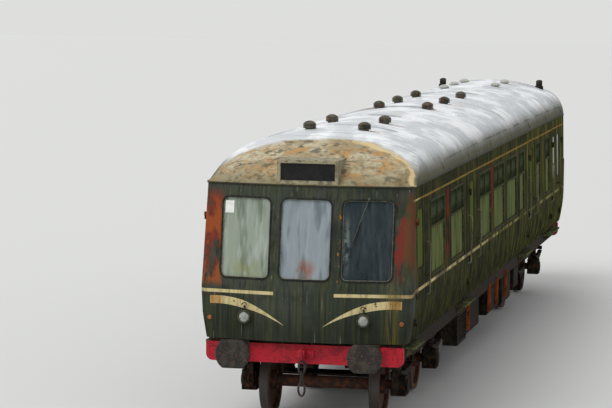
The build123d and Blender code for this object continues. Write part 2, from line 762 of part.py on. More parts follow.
# Solebars: two channels along the coach, with a pair of short draw sills at each end
UNDERFRAME_Z = SILL_Z - SOLEBAR_DEPTH
HEADSTOCK_OUT = 20.0
HEADSTOCK_FRONT_X = FRONT_X + HEADSTOCK_OUT
HEADSTOCK_REAR_X = REAR_X
BOGIE_X = [BOGIE_CENTRES / 2, -BOGIE_CENTRES / 2]
CHANNEL = [
    (SOLEBAR_Y, UNDERFRAME_Z),
    (SOLEBAR_Y, SILL_Z),
    (SOLEBAR_Y - SOLEBAR_FLANGE, SILL_Z),
    (SOLEBAR_Y - SOLEBAR_FLANGE, SILL_Z - PLATE),
    (SOLEBAR_Y - PLATE, SILL_Z - PLATE),
    (SOLEBAR_Y - PLATE, UNDERFRAME_Z + PLATE),
    (SOLEBAR_Y - SOLEBAR_FLANGE, UNDERFRAME_Z + PLATE),
    (SOLEBAR_Y - SOLEBAR_FLANGE, UNDERFRAME_Z),
]
with BuildPart() as solebars:
    with BuildSketch(Plane.YZ.offset(HEADSTOCK_REAR_X)):
        for side in (1, -1):
            Polygon(*[(side * y, z) for y, z in CHANNEL], align=None)
    extrude(amount=HEADSTOCK_FRONT_X - HEADSTOCK_REAR_X)
write(solebars.part, "solebars")

# Cross members coped into the solebars, with the two bolsters and their bogie pivots
CROSS_BARS = [
    1000.0, 4700.0, 5300.0, 6400.0, 7600.0, 8700.0, 9800.0, 11000.0, 12100.0, 12700.0, 16400.0
]
CROSS_PLACES = [(along(distance_back), CROSS_BAR) for distance_back in CROSS_BARS]
BOLSTER_PLACES = [(x, BOLSTER_WIDTH) for x in BOGIE_X]
with BuildPart() as cross_members:
    for x, thickness in CROSS_PLACES + BOLSTER_PLACES:
        with BuildSketch(Plane.YZ.offset(x - thickness / 2)):
            with Locations((0, UNDERFRAME_Z + SOLEBAR_DEPTH / 2)):
                Rectangle(2 * (SOLEBAR_Y - SOLEBAR_FLANGE), SOLEBAR_DEPTH)
                Rectangle(2 * (SOLEBAR_Y - PLATE), SOLEBAR_DEPTH - 2 * PLATE)
        extrude(amount=thickness)
    with Locations([(x, 0, BOLSTER_TOP_Z + SEAT_GAP) for x in BOGIE_X]):
        Cylinder(2 * PIVOT_RADIUS, UNDERFRAME_Z - BOLSTER_TOP_Z - SEAT_GAP, align=ALIGN_LOW)
    with Locations([(x, 0, BOLSTER_TOP_Z - BOLSTER_DEPTH) for x in BOGIE_X]):
        Cylinder(PIVOT_RADIUS, UNDERFRAME_Z - BOLSTER_TOP_Z + BOLSTER_DEPTH, align=ALIGN_LOW)
write(cross_members.part, "cross_members")

# Buffer beams across both ends with rounded lower corners and a draw hook in the middle
BEAM_CORNER = 90.0
BEAM_FACE_FRONT_X = HEADSTOCK_FRONT_X + BUFFER_BEAM_THICKNESS
BEAM_FACE_REAR_X = HEADSTOCK_REAR_X - BUFFER_BEAM_THICKNESS
HOOK_DROP = 25.0
HOOK_PAD = 260.0
HOOK_OUTLINE = [
    (0.0, -60.0),
    (150.0, -60.0),
    (270.0, -45.0),
    (300.0, 0.0),
    (290.0, 70.0),
    (250.0, 95.0),
    (235.0, 80.0),
    (240.0, 20.0),
    (200.0, 10.0),
    (170.0, 45.0),
    (150.0, 60.0),
    (0.0, 60.0),
]
with BuildPart() as buffer_beams:
    for end, face_x in ((1, BEAM_FACE_FRONT_X), (-1, BEAM_FACE_REAR_X)):
        with BuildSketch(Plane.YZ.offset(face_x)) as beam_face:
            with Locations((0, (BUFFER_BEAM_LOW_Z + BUFFER_BEAM_HIGH_Z) / 2)):
                Rectangle(2 * BUFFER_BEAM_HALF_WIDTH, BUFFER_BEAM_HIGH_Z - BUFFER_BEAM_LOW_Z)
            fillet(beam_face.vertices().group_by(Axis.Y)[0], BEAM_CORNER)
        extrude(amount=-end * BUFFER_BEAM_THICKNESS)
        with Locations((face_x, 0, BUFFER_Z - HOOK_DROP)):
            Box(2 * BUFFER_BASE_THICKNESS, HOOK_PAD, BUFFER_BEAM_HIGH_Z - BUFFER_Z)
        hook_plane = Plane(
            origin=(face_x, HOOK_THICKNESS / 2, BUFFER_Z - HOOK_DROP),
            x_dir=(end, 0, 0),
            z_dir=(0, -end, 0),
        )
        with BuildSketch(hook_plane):
            Polygon(*HOOK_OUTLINE, align=None)
        extrude(amount=end * HOOK_THICKNESS)
write(buffer_beams.part, "buffer_beams")

# Buffers: base plate, tapered housing with a collar, ram and a flat-faced head with a bevelled
# rim, turned as one, the head cut level at its top and bottom
BUFFER_COLLAR = 24.0
with BuildPart() as buffers:
    for end, face_x in ((1, BEAM_FACE_FRONT_X), (-1, BEAM_FACE_REAR_X)):
        reach = BODY_LENGTH / 2 + BUFFER_REACH - end * face_x
        head_back = reach - BUFFER_RIM_BEVEL - BUFFER_HEAD_THICKNESS
        shank = head_back - BUFFER_TRAVEL
        for y in (BUFFER_Y, -BUFFER_Y):
            out = Plane(origin=(face_x, y, BUFFER_Z), x_dir=(end, 0, 0), z_dir=(0, -end, 0))
            with BuildSketch(out):
                with BuildLine():
                    Polyline(
                        (0, 0),
                        (0, BUFFER_SHANK_RADIUS + BUFFER_COLLAR),
                        (BUFFER_BASE_THICKNESS + BUFFER_COLLAR, BUFFER_SHANK_RADIUS),
                        (shank - BUFFER_COLLAR, BUFFER_SHANK_RADIUS),
                        (shank - BUFFER_COLLAR, BUFFER_SHANK_RADIUS + BUFFER_COLLAR / 2),
                        (shank, BUFFER_SHANK_RADIUS + BUFFER_COLLAR / 2),
                        (shank, BUFFER_RAM_RADIUS),
                        (head_back - BUFFER_COLLAR, BUFFER_RAM_RADIUS),
                        (head_back, BUFFER_RAM_RADIUS + BUFFER_COLLAR),
                        (head_back, BUFFER_HEAD_RADIUS),
                        (reach - BUFFER_RIM_BEVEL, BUFFER_HEAD_RADIUS),
                        (reach, BUFFER_HEAD_RADIUS - BUFFER_RIM_BEVEL),
                        (reach, 0),
                        (0, 0),
                    )
                make_face()
            revolve(axis=Axis((face_x, y, BUFFER_Z), (end, 0, 0)))
            head_x = face_x + end * reach
            with Locations([(head_x, y, BUFFER_Z + up * BUFFER_HEAD_HEIGHT) for up in (1, -1)]):
                Box(2 * BUFFER_TRAVEL, 4 * BUFFER_HEAD_RADIUS, BUFFER_HEAD_HEIGHT, mode=Mode.SUBTRACT)
            base = Plane(origin=(face_x, y, BUFFER_Z), x_dir=(0, 1, 0), z_dir=(end, 0, 0))
            with Locations(base.location):
                Box(BUFFER_BASE, BUFFER_BASE, BUFFER_BASE_THICKNESS, align=ALIGN_LOW)
write(buffers.part, "buffers")

# Engines: two plain blocks lying under the floor, one each side of the middle
ENGINE_LENGTH = 1800.0
ENGINE_WIDTH = 1050.0
ENGINE_HEIGHT = 540.0
ENGINE_Y = 640.0
ENGINE_EDGE = 60.0
ENGINES = [(7000.0, 1), (10400.0, -1)]
with BuildPart() as engines:
    with Locations([(along(d), side * ENGINE_Y, UNDERFRAME_Z) for d, side in ENGINES]):
        Box(
            ENGINE_LENGTH,
            ENGINE_WIDTH,
            ENGINE_HEIGHT,
            align=(Align.CENTER, Align.CENTER, Align.MAX),
        )
    fillet(engines.edges().filter_by(Axis.X), ENGINE_EDGE)
write(engines.part, "engines")

# Boxes hung below the solebars: distance back, side, length, width, height
RADIATORS = [(5500.0, 1, 900.0, 220.0, 480.0), (12000.0, -1, 900.0, 220.0, 480.0)]
EQUIPMENT_BOXES = [
    (8900.0, 1, 1300.0, 420.0, 430.0),
    (10450.0, 1, 1100.0, 420.0, 470.0),
    (11700.0, 1, 620.0, 380.0, 380.0),
    (6900.0, -1, 1300.0, 420.0, 430.0),
    (8500.0, -1, 1100.0, 420.0, 470.0),
    (5500.0, -1, 620.0, 380.0, 380.0),
]
BOX_OUTER_Y = 1250.0
BOX_EDGE = 30.0
GRILLE_PITCH = 48.0
GRILLE_SLOT = 26.0
GRILLE_DEPTH = 20.0
GRILLE_MARGIN = 45.0
BOX_LID = 8.0
BOX_LID_MARGIN = 40.0


def hung_boxes(table):
    """Place boxes with their outer faces in line, hung from the underframe."""
    for distance_back, side, length, width, height in table:
        with Locations((along(distance_back), side * (BOX_OUTER_Y - width / 2), UNDERFRAME_Z)):
            Box(length, width, height, align=(Align.CENTER, Align.CENTER, Align.MAX))


# Radiators with level slots across their outer faces
with BuildPart() as radiators:
    hung_boxes(RADIATORS)
    for distance_back, side, length, width, height in RADIATORS:
        slots = int((height - 2 * GRILLE_MARGIN) / GRILLE_PITCH)
        first_z = UNDERFRAME_Z - height / 2 - (slots - 1) * GRILLE_PITCH / 2
        places = [
            (along(distance_back), side * BOX_OUTER_Y, first_z + slot * GRILLE_PITCH)
            for slot in range(slots)
        ]
        with Locations(places):
            Box(length - 2 * GRILLE_MARGIN, 2 * GRILLE_DEPTH, GRILLE_SLOT, mode=Mode.SUBTRACT)
write(radiators.part, "radiators")

# Equipment boxes with rounded lower edges and a raised cover on the outer face
with BuildPart() as equipment_boxes:
    hung_boxes(EQUIPMENT_BOXES)
    lengthwise = equipment_boxes.edges().filter_by(Axis.X)
    fillet(lengthwise.filter_by_position(Axis.Z, 0, UNDERFRAME_Z - BOX_EDGE), BOX_EDGE)
    for distance_back, side, length, width, height in EQUIPMENT_BOXES:
        with Locations((along(distance_back), side * BOX_OUTER_Y, UNDERFRAME_Z - height / 2)):
            Box(length - 2 * BOX_LID_MARGIN, 2 * BOX_LID, height - 2 * BOX_LID_MARGIN)
write(equipment_boxes.part, "equipment_boxes")

# Air reservoirs: cylinders along the coach with domed ends, on two hangers each
RESERVOIR_RADIUS = 150.0
RESERVOIR_LENGTH = 1000.0
RESERVOIR_DROP = 190.0
RESERVOIR_END = 55.0
HANGER = 40.0
HANGER_SPREAD = 300.0
RESERVOIRS = [(12400.0, 480.0), (5000.0, 250.0), (12400.0, 60.0)]
with BuildPart() as air_reservoirs:
    for distance_back, y in RESERVOIRS:
        centre = (along(distance_back), y, UNDERFRAME_Z - RESERVOIR_DROP)
        with Locations(Plane(origin=centre, z_dir=(1, 0, 0)).location):
            Cylinder(RESERVOIR_RADIUS, RESERVOIR_LENGTH)
    fillet(air_reservoirs.edges().filter_by(GeomType.CIRCLE), RESERVOIR_END)
    for distance_back, y in RESERVOIRS:
        for end in (1, -1):
            with Locations((along(distance_back) + end * HANGER_SPREAD, y, UNDERFRAME_Z)):
                Box(
                    HANGER,
                    RESERVOIR_RADIUS,
                    RESERVOIR_DROP,
                    align=(Align.CENTER, Align.CENTER, Align.MAX),
                )
write(air_reservoirs.part, "air_reservoirs")

# Footsteps: a board on brackets off the solebar, below each doorway
# Doorway's first and last leaf, how far the board runs past it ahead and behind
FOOTSTEPS = [
    ("cab_door", "cab_door", -9.0, 45.0),
    ("front_saloon_door", "front_saloon_door", 280.0, 20.0),
    ("rear_saloon_door", "rear_saloon_door", 280.0, 20.0),
    ("van_front_leaf", "van_rear_leaf", 50.0, 54.0),
]
STEP_BRACKET_FROM_END = 100.0
STEP_NOSE = 20.0
with BuildPart() as left_steps:
    for first, last, ahead, behind in FOOTSTEPS:
        front = DOOR_EDGES[first][0] - ahead
        rear = DOOR_EDGES[last][1] + behind
        middle = along((front + rear) / 2)
        with Locations((middle, (SOLEBAR_Y + STEP_OUT_Y) / 2, STEP_TOP_Z)):
            Box(
                rear - front,
                STEP_OUT_Y - SOLEBAR_Y,
                STEP_THICKNESS,
                align=(Align.CENTER, Align.CENTER, Align.MAX),
            )
        for place in (front + STEP_BRACKET_FROM_END, rear - STEP_BRACKET_FROM_END):
            with BuildSketch(Plane.YZ.offset(along(place) - STEP_BRACKET / 2)):
                Polygon(
                    (SOLEBAR_Y, STEP_TOP_Z - STEP_THICKNESS),
                    (STEP_OUT_Y - STEP_NOSE, STEP_TOP_Z - STEP_THICKNESS),
                    (SOLEBAR_Y, UNDERFRAME_Z + STEP_NOSE),
                    align=None,
                )
            extrude(amount=STEP_BRACKET)
with BuildPart() as footsteps:
    add(left_steps.part)
    mirror(left_steps.part, about=Plane.XZ)
write(footsteps.part, "footsteps")

# Ventilators: a round neck under a hood of one or more rings with a domed cap, all turned
def ventilator(x, y, rings):
    """Build one ventilator, reaching down into the roof."""
    foot_z = GUTTER_Z + ROOF_RISE - VENT_SUNK
    neck_z = GUTTER_Z + ROOF_RISE - CROWN_RADIUS + math.sqrt(CROWN_RADIUS**2 - y**2) + VENT_NECK
    cap_z = neck_z + rings * (VENT_RING + VENT_GROOVE)
    profile = Plane(origin=(x, y, 0), x_dir=(1, 0, 0), z_dir=(0, -1, 0))
    with BuildPart() as vent:
        with BuildSketch(profile):
            with BuildLine():
                Line((0, foot_z), (VENT_NECK_RADIUS, foot_z))
                Line((VENT_NECK_RADIUS, foot_z), (VENT_NECK_RADIUS, cap_z))
                Line((VENT_NECK_RADIUS, cap_z), (VENT_RADIUS, cap_z))
                RadiusArc((VENT_RADIUS, cap_z), (0, cap_z + VENT_CAP), -VENT_CAP_RADIUS)
                Line((0, cap_z + VENT_CAP), (0, foot_z))
            make_face()
            for ring in range(rings):
                ring_z = neck_z + ring * (VENT_RING + VENT_GROOVE) + VENT_RING / 2
                with Locations((VENT_RADIUS / 2, ring_z)):
                    Rectangle(VENT_RADIUS, VENT_RING)
        revolve(axis=Axis((x, y, 0), (0, 0, 1)))
    return vent.part


VENT_CAP_RADIUS = (VENT_RADIUS**2 + VENT_CAP**2) / (2 * VENT_CAP)
with BuildPart() as roof_vents:
    for distance_back, sides, rings in VENTS:
        for side in sides:
            add(ventilator(along(distance_back), side * VENT_Y, rings))
    add(roof.part, mode=Mode.SUBTRACT)
    with Locations((0, 0, GUTTER_Z)):
        Box(BODY_LENGTH, 4 * VENT_Y, ROOF_RISE - ROOF_WALL, align=ALIGN_LOW, mode=Mode.SUBTRACT)
write(roof_vents.part, "roof_vents")

# Exhaust stubs near the rear end of the roof, each with a collar and a slanted mouth
EXHAUST_Y = 920.0
EXHAUST_FROM_REAR = 150.0
EXHAUST_RADIUS = 60.0
EXHAUST_COLLAR_RADIUS = 78.0
EXHAUST_TOP_Z = GUTTER_Z + 690.0
EXHAUST_LOW_Z = GUTTER_Z + 400.0
EXHAUST_COLLAR_Z = GUTTER_Z + 540.0
EXHAUST_SLANT = 60.0
with BuildPart() as exhaust_pipes:
    for side in (1, -1):
        with Locations((REAR_X + EXHAUST_FROM_REAR, side * EXHAUST_Y, EXHAUST_LOW_Z)):
            Cylinder(EXHAUST_RADIUS, EXHAUST_TOP_Z - EXHAUST_LOW_Z, align=ALIGN_LOW)
            Cylinder(EXHAUST_COLLAR_RADIUS, EXHAUST_COLLAR_Z - EXHAUST_LOW_Z, align=ALIGN_LOW)
    with BuildSketch(Plane.XZ.offset(-WAIST_HALF_WIDTH)):
        Polygon(
            (REAR_X, EXHAUST_TOP_Z),
            (REAR_X + 2 * EXHAUST_FROM_REAR, EXHAUST_TOP_Z),
            (REAR_X + 2 * EXHAUST_FROM_REAR, EXHAUST_TOP_Z - 2 * EXHAUST_SLANT),
            align=None,
        )
    extrude(amount=2 * WAIST_HALF_WIDTH, mode=Mode.SUBTRACT)
    add(section_block(REAR_X, REAR_X + 2 * EXHAUST_FROM_REAR, 0.0), mode=Mode.SUBTRACT)
write(exhaust_pipes.part, "exhaust_pipes")

# Destination box: a shallow housing on the brow of the dome with a recessed blind
DESTINATION_WIDTH = 810.0
DESTINATION_LOW_Z = GUTTER_Z + GUTTER_DEPTH
DESTINATION_HIGH_Z = GUTTER_Z + 340.0
DESTINATION_FACE_X = BROW_X + GUTTER_PROUD / 2
DESTINATION_DEPTH = 620.0
DESTINATION_FRAME = 40.0
DESTINATION_RECESS = 18.0
with BuildPart() as destination_box:
    with Locations((DESTINATION_FACE_X - DESTINATION_DEPTH / 2, 0, DESTINATION_LOW_Z)):
        Box(
            DESTINATION_DEPTH,
            DESTINATION_WIDTH,
            DESTINATION_HIGH_Z - DESTINATION_LOW_Z,
            align=ALIGN_LOW,
        )
    with Locations((DESTINATION_FACE_X, 0, DESTINATION_LOW_Z + DESTINATION_FRAME)):
        Box(
            2 * DESTINATION_RECESS,
            DESTINATION_WIDTH - 2 * DESTINATION_FRAME,
            DESTINATION_HIGH_Z - DESTINATION_LOW_Z - 2 * DESTINATION_FRAME,
            align=ALIGN_LOW,
            mode=Mode.SUBTRACT,
        )
    add(dome_outer, mode=Mode.SUBTRACT)
write(destination_box.part, "destination_box")

# Marker lamps low on the cab front, each a round case with a rim
LAMP_Y = 786.0
LAMP_Z = 1530.0
LAMP_RADIUS = 85.0
LAMP_DEPTH = 60.0
LAMP_RIM = 12.0
facet_slope = math.atan2(FRONT_BOW, WAIST_HALF_WIDTH - FACET_HALF_WIDTH)
lamp_x = FRONT_X + FRONT_BOW - (LAMP_Y - FACET_HALF_WIDTH) * math.tan(facet_slope)
with BuildPart() as marker_lamps:
    for side in (1, -1):
        facing = (math.cos(facet_slope), side * math.sin(facet_slope), 0)
        lamp_plane = Plane(origin=(lamp_x, side * LAMP_Y, LAMP_Z), z_dir=facing)
        with Locations(lamp_plane.offset(-LAMP_DEPTH / 2).location):
            Cylinder(LAMP_RADIUS, LAMP_DEPTH, align=ALIGN_LOW)
        with Locations(lamp_plane.offset(LAMP_DEPTH / 2 - LAMP_RIM).location):
            Cylinder(
                LAMP_RADIUS - LAMP_RIM,
                2 * LAMP_RIM,
                align=ALIGN_LOW,
                mode=Mode.SUBTRACT,
            )
    add(cab_outer, mode=Mode.SUBTRACT)
write(marker_lamps.part, "marker_lamps")

# Gangway: a pleated bellows behind a face frame, round the rear doorway
GANGWAY_WIDTH = 1060.0
GANGWAY_LOW_Z = 1190.0
GANGWAY_HIGH_Z = 3330.0
GANGWAY_WALL = 90.0
GANGWAY_REACH = 400.0
GANGWAY_PLEATS = 5
PLEAT_DEPTH = 30.0
FACE_FRAME_THICKNESS = 50.0
GANGWAY_MID_Z = (GANGWAY_LOW_Z + GANGWAY_HIGH_Z) / 2
GANGWAY_HEIGHT = GANGWAY_HIGH_Z - GANGWAY_LOW_Z
pleat_pitch = (GANGWAY_REACH - FACE_FRAME_THICKNESS) / GANGWAY_PLEATS
with BuildPart() as gangway:
    for pleat in range(GANGWAY_PLEATS):
        near_x = REAR_X - pleat * pleat_pitch
        middle_x = near_x - pleat_pitch / 2
        for start_x, end_x in ((near_x, middle_x), (near_x - pleat_pitch, middle_x)):
            valley = Plane.YZ.offset(start_x)
            ridge = Plane.YZ.offset(end_x)
            with BuildSketch(valley):
                with Locations((0, GANGWAY_MID_Z)):
                    Rectangle(GANGWAY_WIDTH - 2 * PLEAT_DEPTH, GANGWAY_HEIGHT - 2 * PLEAT_DEPTH)
            with BuildSketch(ridge):
                with Locations((0, GANGWAY_MID_Z)):
                    Rectangle(GANGWAY_WIDTH, GANGWAY_HEIGHT)
            loft()
    with BuildSketch(Plane.YZ.offset(REAR_X - GANGWAY_REACH)):
        with Locations((0, GANGWAY_MID_Z)):
            Rectangle(GANGWAY_WIDTH, GANGWAY_HEIGHT)
    extrude(amount=FACE_FRAME_THICKNESS)
    with Locations((REAR_X, 0, GANGWAY_LOW_Z + GANGWAY_WALL)):
        Box(
            3 * GANGWAY_REACH,
            GANGWAY_WIDTH - 2 * GANGWAY_WALL,
            GANGWAY_HEIGHT - 2 * GANGWAY_WALL,
            align=ALIGN_LOW,
            mode=Mode.SUBTRACT,
        )
write(gangway.part, "gangway")

# Driver's desk across the cab and the driver's seat behind it
DESK_REAR_X = along(430.0)
DESK_FRONT_X = FRONT_X - 120.0
DESK_WIDTH = 2200.0
DESK_EDGE_Z = FLOOR_Z + 640.0
DESK_TOP_Z = FLOOR_Z + 780.0
DESK_LIP = 60.0
DESK_KNEE = 160.0
DRIVER_X = along(880.0)
DRIVER_Y = 760.0
DRIVER_SEAT = 430.0
DRIVER_SEAT_HEIGHT = 420.0
DRIVER_CUSHION = 90.0
DRIVER_BACK = 560.0
DRIVER_BACK_THICKNESS = 70.0
DRIVER_PLATE = 40.0
with BuildPart() as cab_controls:
    with BuildSketch(Plane(origin=(0, DESK_WIDTH / 2, 0), x_dir=(1, 0, 0), z_dir=(0, -1, 0))):
        Polygon(
            (DESK_REAR_X + DESK_KNEE, FLOOR_Z),
            (DESK_REAR_X + DESK_KNEE, DESK_EDGE_Z - DESK_LIP),
            (DESK_REAR_X, DESK_EDGE_Z),
            (DESK_REAR_X + DESK_LIP, DESK_EDGE_Z + DESK_LIP),
            (DESK_FRONT_X - DESK_LIP, DESK_TOP_Z),
            (DESK_FRONT_X, DESK_TOP_Z),
            (DESK_FRONT_X, FLOOR_Z),
            align=None,
        )
    extrude(amount=DESK_WIDTH)
    with Locations((DRIVER_X, DRIVER_Y, FLOOR_Z)):
        Cylinder(DRIVER_CUSHION / 2, DRIVER_SEAT_HEIGHT, align=ALIGN_LOW)
        Box(DRIVER_SEAT, DRIVER_SEAT, DRIVER_PLATE, align=ALIGN_LOW)
    with Locations((DRIVER_X, DRIVER_Y, FLOOR_Z + DRIVER_SEAT_HEIGHT)):
        Box(DRIVER_SEAT, DRIVER_SEAT, DRIVER_CUSHION, align=ALIGN_LOW)
    with Locations((DRIVER_X - DRIVER_SEAT / 2, DRIVER_Y, FLOOR_Z + DRIVER_SEAT_HEIGHT)):
        Box(DRIVER_BACK_THICKNESS, DRIVER_SEAT, DRIVER_BACK, align=ALIGN_LOW)
write(cab_controls.part, "cab_controls")

# Grab rails: bent rods beside the doors, on both sides
# Door, rail ahead of it or not, rail behind it or not
RAILED_DOORS = [
    ("cab_door", False, True),
    ("front_saloon_door", True, True),
    ("rear_saloon_door", True, True),
    ("van_front_leaf", True, False),
    ("van_rear_leaf", False, True),
]
GRAB_RAILS = [DOOR_EDGES[name][0] - RAIL_FROM_DOOR for name, ahead, behind in RAILED_DOORS if ahead]
GRAB_RAILS += [DOOR_EDGES[name][1] + RAIL_FROM_DOOR for name, ahead, behind in RAILED_DOORS if behind]
RAIL_ROOT = 30.0
with BuildPart() as left_rails:
    for distance_back in GRAB_RAILS:
        x = along(distance_back)
        with BuildLine() as rail_path:
            FilletPolyline(
                (x, WAIST_HALF_WIDTH - RAIL_ROOT, RAIL_LOW_Z),
                (x, WAIST_HALF_WIDTH + RAIL_STAND_OFF, RAIL_LOW_Z),
                (x, WAIST_HALF_WIDTH + RAIL_STAND_OFF, RAIL_HIGH_Z),
                (x, WAIST_HALF_WIDTH - RAIL_ROOT, RAIL_HIGH_Z),
                radius=RAIL_BEND,
            )
        with BuildSketch(Plane(origin=rail_path.line @ 0, z_dir=rail_path.line % 0)):
            Circle(RAIL_RADIUS)
        sweep()
    add(wall, mode=Mode.SUBTRACT)
with BuildPart() as grab_rails:
    add(left_rails.part)
    mirror(left_rails.part, about=Plane.XZ)
write(grab_rails.part, "grab_rails")


def side_door(name, hinge, margin_front, margin_rear):
    """Build one left-hand door leaf with its pane, hinges and handle."""
    front, rear = DOOR_EDGES[name]
    light_front = front + margin_front
    light_rear = rear - margin_rear
    hinge_x = along(front if hinge > 0 else rear)
    handle_x = along(rear if hinge > 0 else front) + hinge * HANDLE_FROM_EDGE
    middle_x = along((front + rear) / 2)
    with BuildPart() as leaf:
        add(wall_length(along(rear), along(front)))
        with Locations((middle_x, WAIST_HALF_WIDTH, DOOR_HEAD_Z)):
            Box(
                2 * (rear - front),
                8 * WALL,
                GUTTER_Z - DOOR_HEAD_Z,
                align=ALIGN_LOW,
                mode=Mode.SUBTRACT,
            )
        with Locations((middle_x, WAIST_HALF_WIDTH, SILL_Z - PANEL_GAP)):
            Box(2 * (rear - front), 8 * WALL, 2 * PANEL_GAP, align=ALIGN_LOW, mode=Mode.SUBTRACT)
        with BuildSketch(LEFT_WALL):
            window_sketch(
                light_front, light_rear, DROPLIGHT_SILL_Z, DROPLIGHT_HEAD_Z, DROPLIGHT_RADIUS
            )
        extrude(amount=2 * WALL, both=True, mode=Mode.SUBTRACT)
        hinge_halves(hinge_x, -hinge, HINGE_HEIGHTS, 0.0)
        stem = Plane(
            origin=(handle_x, WAIST_HALF_WIDTH - HANDLE_ROOT, HANDLE_Z), z_dir=(0, 1, 0)
        )
        with Locations(stem.location):
            Cylinder(
                HANDLE_STEM_RADIUS,
                HANDLE_ROOT + HANDLE_STAND_OFF + HANDLE_STEM_RADIUS,
                align=ALIGN_LOW,
            )
        grip = Plane(
            origin=(
                handle_x + hinge * HANDLE_REACH / 3,
                WAIST_HALF_WIDTH + HANDLE_STAND_OFF,
                HANDLE_Z,
            ),
            z_dir=(1, 0, 0),
        )
        with Locations(grip.location):
            Cylinder(HANDLE_RADIUS, HANDLE_REACH)
        with BuildSketch(LEFT_WALL.offset(-SIDE_GLASS_INSET - SIDE_GLASS_THICKNESS)):
            window_sketch(
                light_front + GLASS_GAP,
                light_rear - GLASS_GAP,
                DROPLIGHT_SILL_Z + GLASS_GAP,
                DROPLIGHT_HEAD_Z - GLASS_GAP,
                DROPLIGHT_RADIUS - GLASS_GAP,
            )
        extrude(amount=SIDE_GLASS_THICKNESS)
    return leaf.part


for name, hinge, margin_front, margin_rear in SIDE_DOORS:
    left_leaf = side_door(name, hinge, margin_front, margin_rear)
    write(left_leaf, f"{name}_left")
    with BuildPart() as right_leaf:
        mirror(left_leaf, about=Plane.XZ)
    write(right_leaf.part, f"{name}_right")

# Gangway door: a framed leaf with a pane, hinged inside the rear doorway
DOOR_PANE_WIDTH = 420.0
DOOR_PANE_LOW_Z = 2250.0
DOOR_PANE_HIGH_Z = 2950.0
gangway_door_x = REAR_X + WALL - GANGWAY_DOOR_THICKNESS
with BuildPart() as gangway_door:
    with Locations((gangway_door_x, 0, FLOOR_Z + PANEL_GAP)):
        Box(
            GANGWAY_DOOR_THICKNESS,
            GANGWAY_DOOR_WIDTH,
            GANGWAY_DOOR_HEAD_Z - FLOOR_Z - PANEL_GAP,
            align=(Align.MIN, Align.CENTER, Align.MIN),
        )
    with BuildSketch(Plane.YZ.offset(gangway_door_x)):
        with Locations((0, (DOOR_PANE_LOW_Z + DOOR_PANE_HIGH_Z) / 2)):
            RectangleRounded(DOOR_PANE_WIDTH, DOOR_PANE_HIGH_Z - DOOR_PANE_LOW_Z, DROPLIGHT_RADIUS)
    extrude(amount=GANGWAY_DOOR_THICKNESS, mode=Mode.SUBTRACT)
    for z in GANGWAY_HINGE_HEIGHTS:
        with Locations((GANGWAY_HINGE_X, GANGWAY_DOOR_WIDTH / 2, z)):
            Cylinder(HINGE_RADIUS, HINGE_LENGTH)
        with Locations((REAR_X + WALL, GANGWAY_DOOR_WIDTH / 2 - HINGE_STRAP / 2, z)):
            Box(2 * GANGWAY_HINGE_IN, HINGE_STRAP, HINGE_LENGTH)
    with BuildSketch(Plane.YZ.offset(gangway_door_x + GANGWAY_DOOR_THICKNESS / 2)):
        with Locations((0, (DOOR_PANE_LOW_Z + DOOR_PANE_HIGH_Z) / 2)):
            RectangleRounded(
                DOOR_PANE_WIDTH - 2 * GLASS_GAP,
                DOOR_PANE_HIGH_Z - DOOR_PANE_LOW_Z - 2 * GLASS_GAP,
                DROPLIGHT_RADIUS - GLASS_GAP,
            )
    extrude(amount=SIDE_GLASS_THICKNESS)
write(gangway_door.part, "gangway_door")


# Wheelsets: an axle with journals and two flanged wheels, turned about the axle
def wheelset(axle_x):
    """Build one axle and its two wheels."""
    axle_plane = Plane(origin=(axle_x, 0, AXLE_Z), x_dir=(0, 1, 0), z_dir=(1, 0, 0))
    back = BACK_TO_BACK / 2
    flange = WHEEL_TREAD_RADIUS + FLANGE_HEIGHT
    tread = WHEEL_TREAD_RADIUS
    rim = WHEEL_TREAD_RADIUS - RIM_DEPTH
    web = back + TYRE_WIDTH / 2 - WEB_THICKNESS / 2
    hub_back = back - (HUB_WIDTH - TYRE_WIDTH) / 2
    with BuildPart() as turned:
        with BuildSketch(axle_plane):
            for side in (1, -1):
                Polygon(
                    (side * hub_back, 0),
                    (side * hub_back, HUB_RADIUS),
                    (side * web, HUB_RADIUS),
                    (side * web, rim),
                    (side * back, rim),
                    (side * back, flange - FLANGE_WIDTH / 3),
                    (side * (back + FLANGE_WIDTH / 3), flange),
                    (side * (back + FLANGE_WIDTH * 2 / 3), flange),
                    (side * (back + FLANGE_WIDTH), tread + TREAD_CONE),
                    (side * (back + FLANGE_WIDTH * 4 / 3), tread),
                    (side * (back + TYRE_WIDTH), tread - TREAD_CONE),
                    (side * (back + TYRE_WIDTH), rim),
                    (side * (web + WEB_THICKNESS), rim),
                    (side * (web + WEB_THICKNESS), HUB_RADIUS),
                    (side * (hub_back + HUB_WIDTH), HUB_RADIUS),
                    (side * (hub_back + HUB_WIDTH), 0),
                    align=None,
                )
            with Locations((0, AXLE_RADIUS / 2)):
                Rectangle(2 * back, AXLE_RADIUS)
            with Locations((0, JOURNAL_RADIUS / 2)):
                Rectangle(2 * AXLE_HALF_LENGTH, JOURNAL_RADIUS)
        revolve(axis=Axis((axle_x, 0, AXLE_Z), (0, 1, 0)))
    return turned.part


axle_number = 0
for bogie_x in BOGIE_X:
    for end in (1, -1):
        axle_number += 1
        turned_axle = wheelset(bogie_x + end * BOGIE_WHEELBASE / 2)
        write(turned_axle, f"wheelset_{axle_number}")


